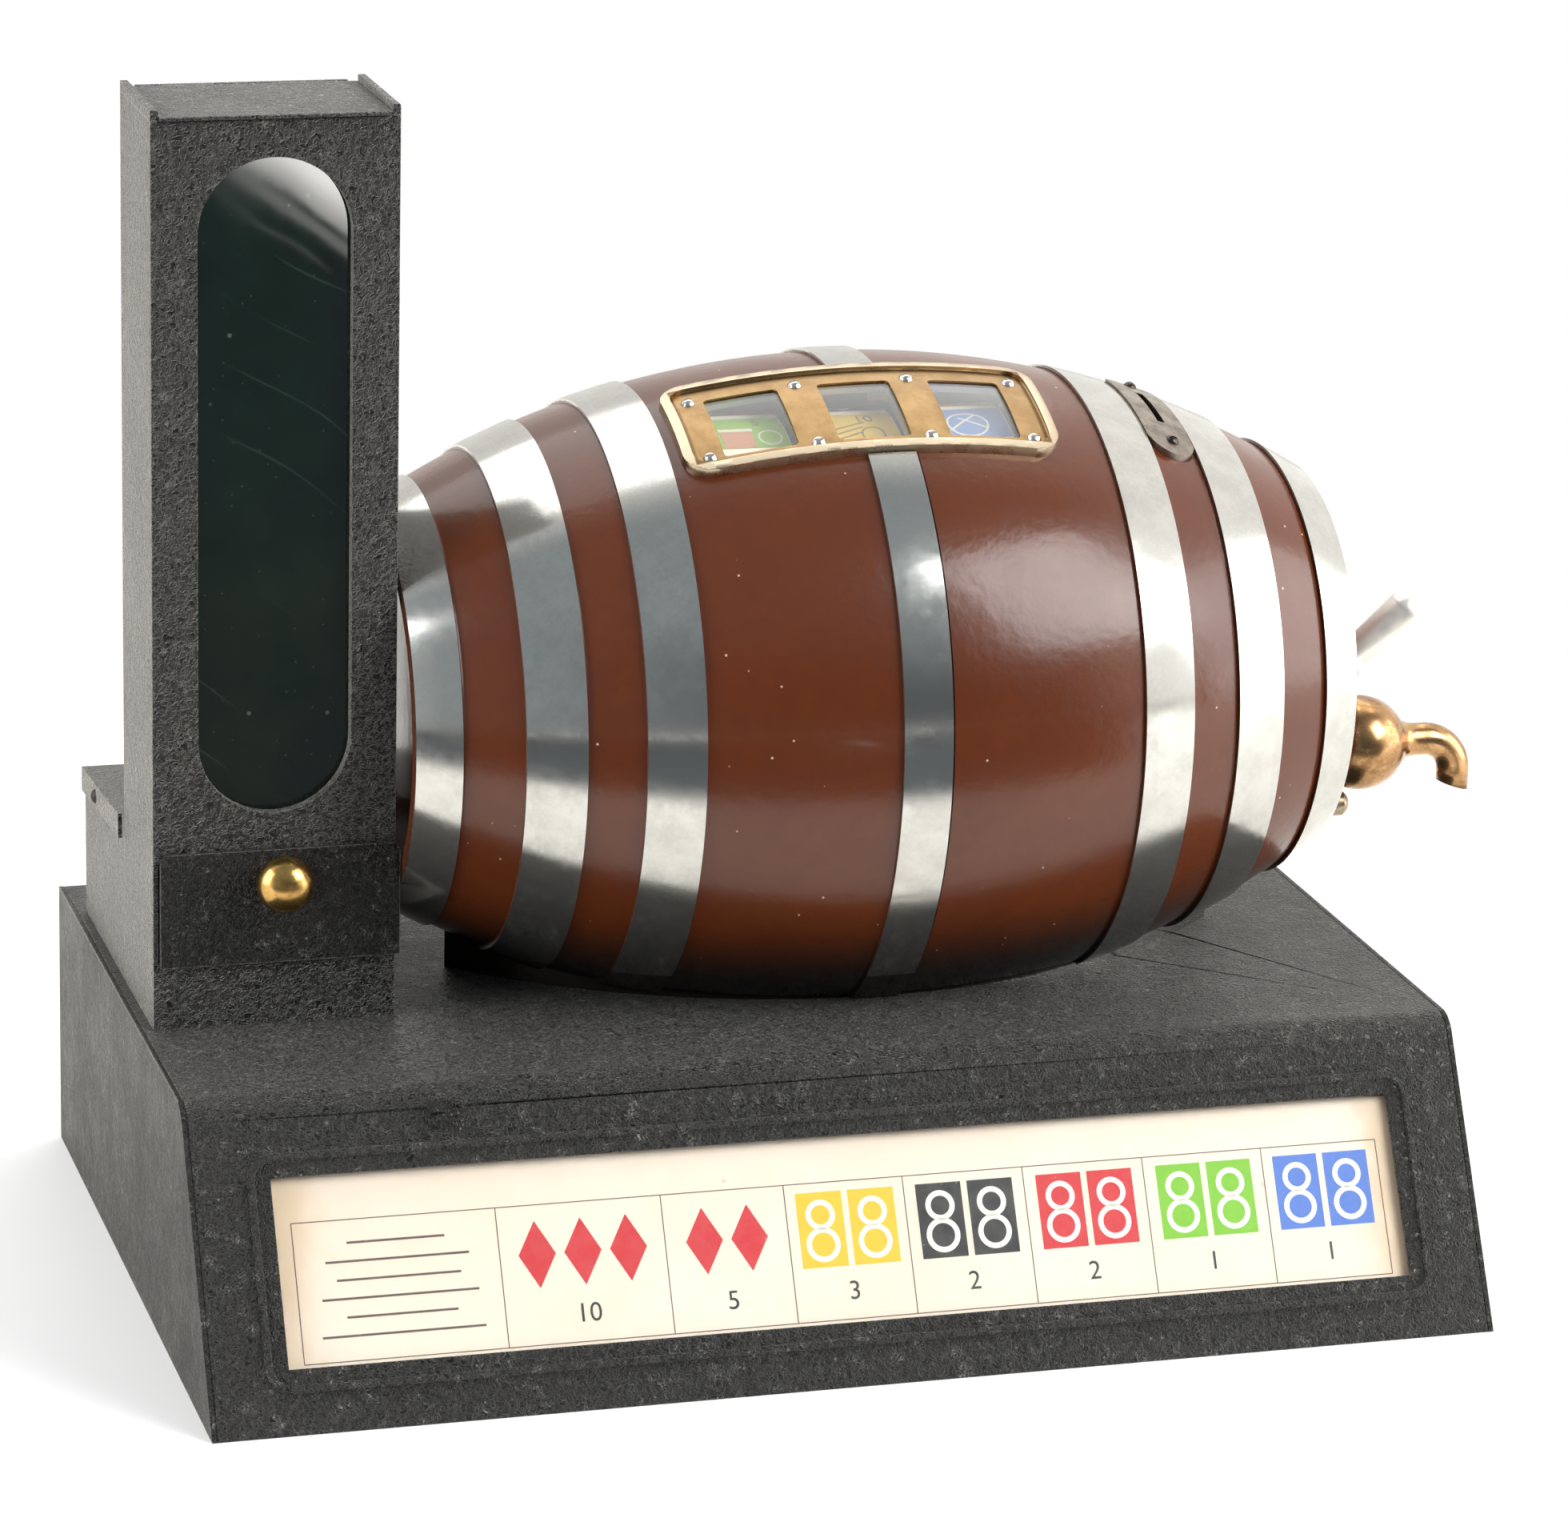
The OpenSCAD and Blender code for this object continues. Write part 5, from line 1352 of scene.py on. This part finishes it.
@dataclass
class Reels:
    """Three reels with their printed strips, star wheels and index dogs."""

    middle: float = 25.2
    pitch: float = 36.0
    centre: Pair = (7.26, 225.86)
    drum: float = 40.0
    radius: float = 43.0
    width: float = 26.0
    stops: int = 12
    facing: float = 15.0
    shown: tuple[float, ...] = (0.9, 1.1, 0.7)
    orders: ClassVar[tuple[tuple[Figure, ...], ...]] = (
        (Figure.BLOCK, Figure.RINGS, Figure.DIAMOND, Figure.DISC),
        (Figure.TEN, Figure.DIAMOND, Figure.RINGS, Figure.BARS),
        (Figure.DISC, Figure.BLOCK, Figure.TEN, Figure.RINGS),
    )
    inks: ClassVar[tuple[tuple[Ink, ...], ...]] = (
        (Ink.GREEN, Ink.RED, Ink.YELLOW, Ink.BLUE),
        (Ink.YELLOW, Ink.BLACK, Ink.GREEN, Ink.RED),
        (Ink.BLUE, Ink.YELLOW, Ink.RED, Ink.BLACK),
    )

    def dress(self, parts: Parts) -> None:
        """Aluminium reels, brass stars and steel dogs.

        Args:
            parts: The machine's own parts.
        """
        alu = Metal("reel casting", tone(200, 201, 202), tone(150, 150, 150), 0.36, tarnish=0.4)
        parts.dress(alu, *(f"reel_{i}" for i in REELS))
        works = Metal("works brass", tone(220, 186, 118), tone(156, 120, 70), 0.32)
        parts.dress(works, *(f"star_wheel_{i}" for i in REELS))
        parts.dress(STEEL, *(f"index_dog_{i}" for i in REELS))

    def build(self) -> None:
        """Prints each strip, with the stop behind the window first, and turns its band."""
        cell = math.tau * self.radius / self.stops
        for reel, body in zip(REELS, (Body.REEL_1, Body.REEL_2, Body.REEL_3)):
            figures, inks = self.orders[reel - 1], self.inks[reel - 1]
            ink = Print(f"reel_print_{reel}")
            for stop in range(self.stops):
                self._stop(ink, figures[stop % 4], inks[stop % 4], stop * cell - self.shown[reel - 1])
            ink.wrap(self.radius + 0.04)
            x = self.middle + (reel - 2) * self.pitch
            turn = Matrix.Rotation(math.radians(self.facing), 4, "X")
            at = Matrix.Translation(Vector((x, *self.centre)) * MM) @ turn
            ink.lay(at, body, Slot.STRIP, 0.3)
            self._band(reel, at, body)

    def _band(self, reel: int, at: Matrix, body: Body) -> None:
        """Turns the stiff paper band that carries the print round a reel's drum.

        Args:
            reel: Number of the reel.
            at: Its frame.
            body: What it moves with.
        """
        half = self.width / 2
        corners = ((-half, self.drum), (half, self.drum), (half, self.radius), (-half, self.radius))
        mesh = turned(corners, "X", 96, closed=True)
        paper = Paper("strip paper", tone(240, 232, 214), tone(214, 190, 150), reach=200.0)
        piece = place_piece(f"reel_band_{reel}", mesh, [paper.material()], body, at, smooth=False)
        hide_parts(f"reel_strip_{reel}")

    def _stop(self, ink: Print, figure: Figure, paint: Ink, y: float) -> None:
        """Prints one stop about a place along the strip.

        Args:
            ink: The print.
            figure: What the stop shows.
            paint: Ink of its ground.
            y: Its place along the strip.
        """
        ink.panel(paint, 0, y, 25.6, 18.4)
        if figure is Figure.BLOCK:
            ink.panel(Ink.SALMON, -3.1, y - 4.9, 10.2, 8.4, 0.03)
            ink.panel(Ink.WHITE, -3.1, y + 0.2, 11.0, 1.6, 0.06)
            ink.ring(Ink.WHITE, 7.2, y - 4.2, 3.9, 3.2, 0.06)
            ink.number(Ink.LINE, "5", 4.4, y + 4.6, 6.0, 0.03)
        elif figure is Figure.TEN:
            ink.number(Ink.LINE, "10", 3.4, y + 4.6, 6.4, 0.03)
            for k in (0, 1, 2):
                ink.bar(Ink.LINE, (-9.5, y - 7.6 + k * 2.6), (1.0 + k, y - 3.4 + k * 2.9), 0.6, 0.03)
            ink.ring(Ink.LINE, 4.5, y - 4.6, 3.9, 3.3, 0.03)
        elif figure is Figure.DISC:
            ink.ring(Ink.WHITE, 0, y - 1.6, 6.8, 6.1, 0.03)
            ink.bar(Ink.WHITE, (-6.4, y - 5.0), (3.2, y + 3.4), 0.7, 0.06)
            ink.bar(Ink.WHITE, (-2.4, y + 2.0), (6.0, y - 4.6), 0.7, 0.06)
        elif figure is Figure.DIAMOND:
            ink.disc(Ink.WHITE, 0, y, 14.0, 17.0, 0.03, sides=4)
        elif figure is Figure.RINGS:
            for k in (-1, 1):
                ink.ring(Ink.WHITE, k * 4.2, y, 5.6, 3.9, 0.03)
        else:
            for k in (-1, 0, 1):
                ink.panel(Ink.WHITE, 0, y + k * 5.0, 17.0, 2.4, 0.03)


@dataclass
class Works:
    """Handle, shafts, plates, spring and coin chute."""

    def dress(self, parts: Parts) -> None:
        """Pale lever outside, plain steel inside.

        Args:
            parts: The machine's own parts.
        """
        lever = Metal("lever aluminium", tone(248, 244, 236), tone(228, 223, 214), 0.45, 9.0, tarnish=0.4)
        parts.dress(lever, "handle_lever")
        shafts = ("handle_shaft", "kickers", "return_spring", "coin_chute", "reel_shaft", "dog_shaft")
        parts.dress(STEEL, *shafts, "mech_plate_left", "mech_plate_right", "plate_rods")


@dataclass
class Studio:
    """Pale floor, soft lamps and the camera at the photograph's angle."""

    eye: Point = (-518.0, -1769.6, 713.1)
    yaw: float = 16.50
    pitch: float = 16.71
    roll: float = 1.54
    lens: float = 139.886
    white: Tone = (1.0, 1.0, 1.0, 1.0)
    pale: Tone = (0.93, 0.91, 0.87, 1.0)
    room: Tone = (0.075, 0.085, 0.095, 1.0)
    window: Tone = (1.0, 0.98, 0.94, 1.0)
    lamps: ClassVar[tuple[tuple[str, Point, Pair, float], ...]] = (
        ("overhead", (0.0, 0.95, 1.75), (2.2, 1.6), 15.0),
        ("right key", (1.15, -1.1, 1.3), (0.9, 1.1), 24.0),
        ("right wall", (2.1, -0.55, 0.7), (1.5, 1.5), 24.0),
        ("left fill", (-1.9, -0.1, 0.9), (1.3, 1.6), 26.0),
    )

    def camera(self) -> None:
        """Sets the camera where the photograph was taken."""
        yaw, pitch, roll = (math.radians(v) for v in (self.yaw, self.pitch, self.roll))
        ahead = Vector((math.sin(yaw) * math.cos(pitch), math.cos(yaw) * math.cos(pitch), -math.sin(pitch)))
        right = Vector((math.cos(yaw), -math.sin(yaw), 0))
        up = right.cross(ahead)
        side = math.cos(roll) * right + math.sin(roll) * up
        top = -math.sin(roll) * right + math.cos(roll) * up
        data = bpy.data.cameras.new("camera")
        data.sensor_fit, data.sensor_width, data.lens = "HORIZONTAL", 36.0, self.lens
        data.clip_start, data.clip_end = 0.1, 30.0
        made = stand("camera", data)
        turn = Matrix((side, top, -ahead)).transposed().to_4x4()
        made.matrix_world = Matrix.Translation(Vector(self.eye) * MM) @ turn
        bpy.context.scene.camera = made

    def floor(self) -> None:
        """Lays the pale floor, greyer towards the room in front of the machine for reflections."""
        mesh = bmesh.new()
        bmesh.ops.create_circle(mesh, cap_ends=True, radius=6.0, segments=96)
        data = bpy.data.meshes.new("floor")
        mesh.to_mesh(data)
        mesh.free()
        made = stand("floor", data)
        paper = bpy.data.materials.new("floor paper")
        g = Graph.of(paper)
        x, y, _ = g.parts(g.place())
        path = g.node("ShaderNodeLightPath")
        seen = path.outputs["Is Camera Ray"]
        lean = g.math("DIVIDE", g.minus(x, 0.05), g.math("MAXIMUM", g.math("ABSOLUTE", y), 0.01))
        sector = g.times(g.step(lean, -1.7, -1.3), g.step(lean, 1.02, 0.88))
        dark = g.times(g.times(g.step(y, -0.36, -0.46), g.step(y, -3.2, -2.8)), sector)
        color = g.blend(seen, g.blend(dark, self.pale, self.room), (0.93, 0.93, 0.93, 1.0))
        inputs = {"Base Color": color, "Roughness": 0.9, "Specular IOR Level": 0.0}
        shader = g.node("ShaderNodeBsdfPrincipled", inputs).outputs[0]
        white = g.node("ShaderNodeEmission", {"Color": self.white}).outputs[0]
        away = g.step(g.vector("LENGTH", g.place()), 0.42, 0.8)
        floor = g.node("ShaderNodeMixShader", {0: g.times(seen, away), 1: shader, 2: white}).outputs[0]
        pool = g.times(self.daylight(g, x, y), path.outputs["Is Glossy Ray"])
        bright = g.node("ShaderNodeEmission", {"Color": self.window, "Strength": 9.0}).outputs[0]
        lit = g.node("ShaderNodeMixShader", {0: pool, 1: floor, 2: bright}).outputs[0]
        g.node("ShaderNodeOutputMaterial", {"Surface": lit})
        data.materials.append(paper)

    @staticmethod
    def daylight(g: Graph, x: Socket, y: Socket) -> Socket:
        """Patch of daylight on the floor, with a straight edge, a strip and a thin line beside it.

        Args:
            g: Graph of the floor.
            x: Place across the floor.
            y: Place along the floor.

        Returns:
            How bright the patch is.
        """
        edge = g.minus(g.minus(x, 0.338), g.times(y, 0.089))
        sheet = g.times(g.step(edge, 0.0, 0.004), g.between(g.step(edge, 0.0, 0.045), 0.35, 1.0))
        strip = g.times(g.step(g.math("ABSOLUTE", g.plus(edge, 0.011)), 0.007, 0.004), 0.16)
        line = g.times(g.step(g.math("ABSOLUTE", g.plus(edge, 0.04)), 0.003, 0.001), 0.07)
        ends = g.times(g.step(y, -1.98, -1.92), g.step(y, -1.45, -1.52))
        return g.times(g.plus(g.plus(sheet, strip), line), g.times(g.step(x, 0.275, 0.262), ends))

    def world(self) -> None:
        """White surroundings, darker towards the room behind the camera."""
        made = bpy.data.worlds.new("studio")
        bpy.context.scene.world = made
        g = Graph.of(made)
        x, y, z = g.parts(g.node("ShaderNodeTexCoord").outputs["Generated"])
        dark = g.times(g.step(y, 0.22, -0.14), g.times(g.step(x, -0.9, -0.72), g.step(x, 0.68, 0.6)))
        wide = g.step(g.math("ABSOLUTE", x), 0.2, 0.6)
        wall = g.blend(wide, (0.92, 0.90, 0.86, 1.0), (1.3, 1.27, 1.21, 1.0))
        high = g.math("MAXIMUM", g.step(z, 0.1, 0.75), g.step(x, 0.1, -0.7))
        dim = g.blend(high, (0.105, 0.12, 0.13, 1.0), (0.33, 0.37, 0.39, 1.0))
        room = g.blend(dark, wall, dim)
        seen = g.node("ShaderNodeLightPath").outputs["Is Camera Ray"]
        color = g.blend(seen, room, self.white)
        back = g.node("ShaderNodeBackground", {"Color": color, "Strength": 1.0})
        g.node("ShaderNodeOutputWorld", {"Surface": back.outputs[0]})

    def light(self) -> None:
        """Hangs the soft lamps, all aimed at the machine."""
        aim = Vector((0.0, 0.0, 0.16))
        for name, at, size, power in self.lamps:
            data = bpy.data.lights.new(name, "AREA")
            data.shape, data.energy = "RECTANGLE", power
            data.size, data.size_y = size
            turn = (aim - Vector(at)).to_track_quat("-Z", "Y")
            stand(name, data).matrix_world = Matrix.Translation(at) @ turn.to_matrix().to_4x4()

    def build(self) -> None:
        """Sets up the whole studio."""
        self.camera()
        self.floor()
        self.world()
        self.light()
        bpy.context.scene.view_settings.view_transform = "Standard"


def main() -> None:
    """Dresses the machine part by part, and adds its printed and turned pieces."""
    logging.basicConfig(level=logging.INFO, format="%(message)s")
    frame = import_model()
    parts = Parts(frame)
    Studio().build()
    BaseCabinet().dress(parts)
    card = AwardCard()
    card.dress(parts)
    card.build()
    CoinTower().dress(parts)
    dispenser = Dispenser()
    dispenser.dress(parts)
    dispenser.build()
    Barrel().dress(parts)
    Spigot().build()
    ReelWindow().dress(parts)
    reels = Reels()
    reels.dress(parts)
    reels.build()
    Works().dress(parts)


if __name__ == "__main__":
    main()
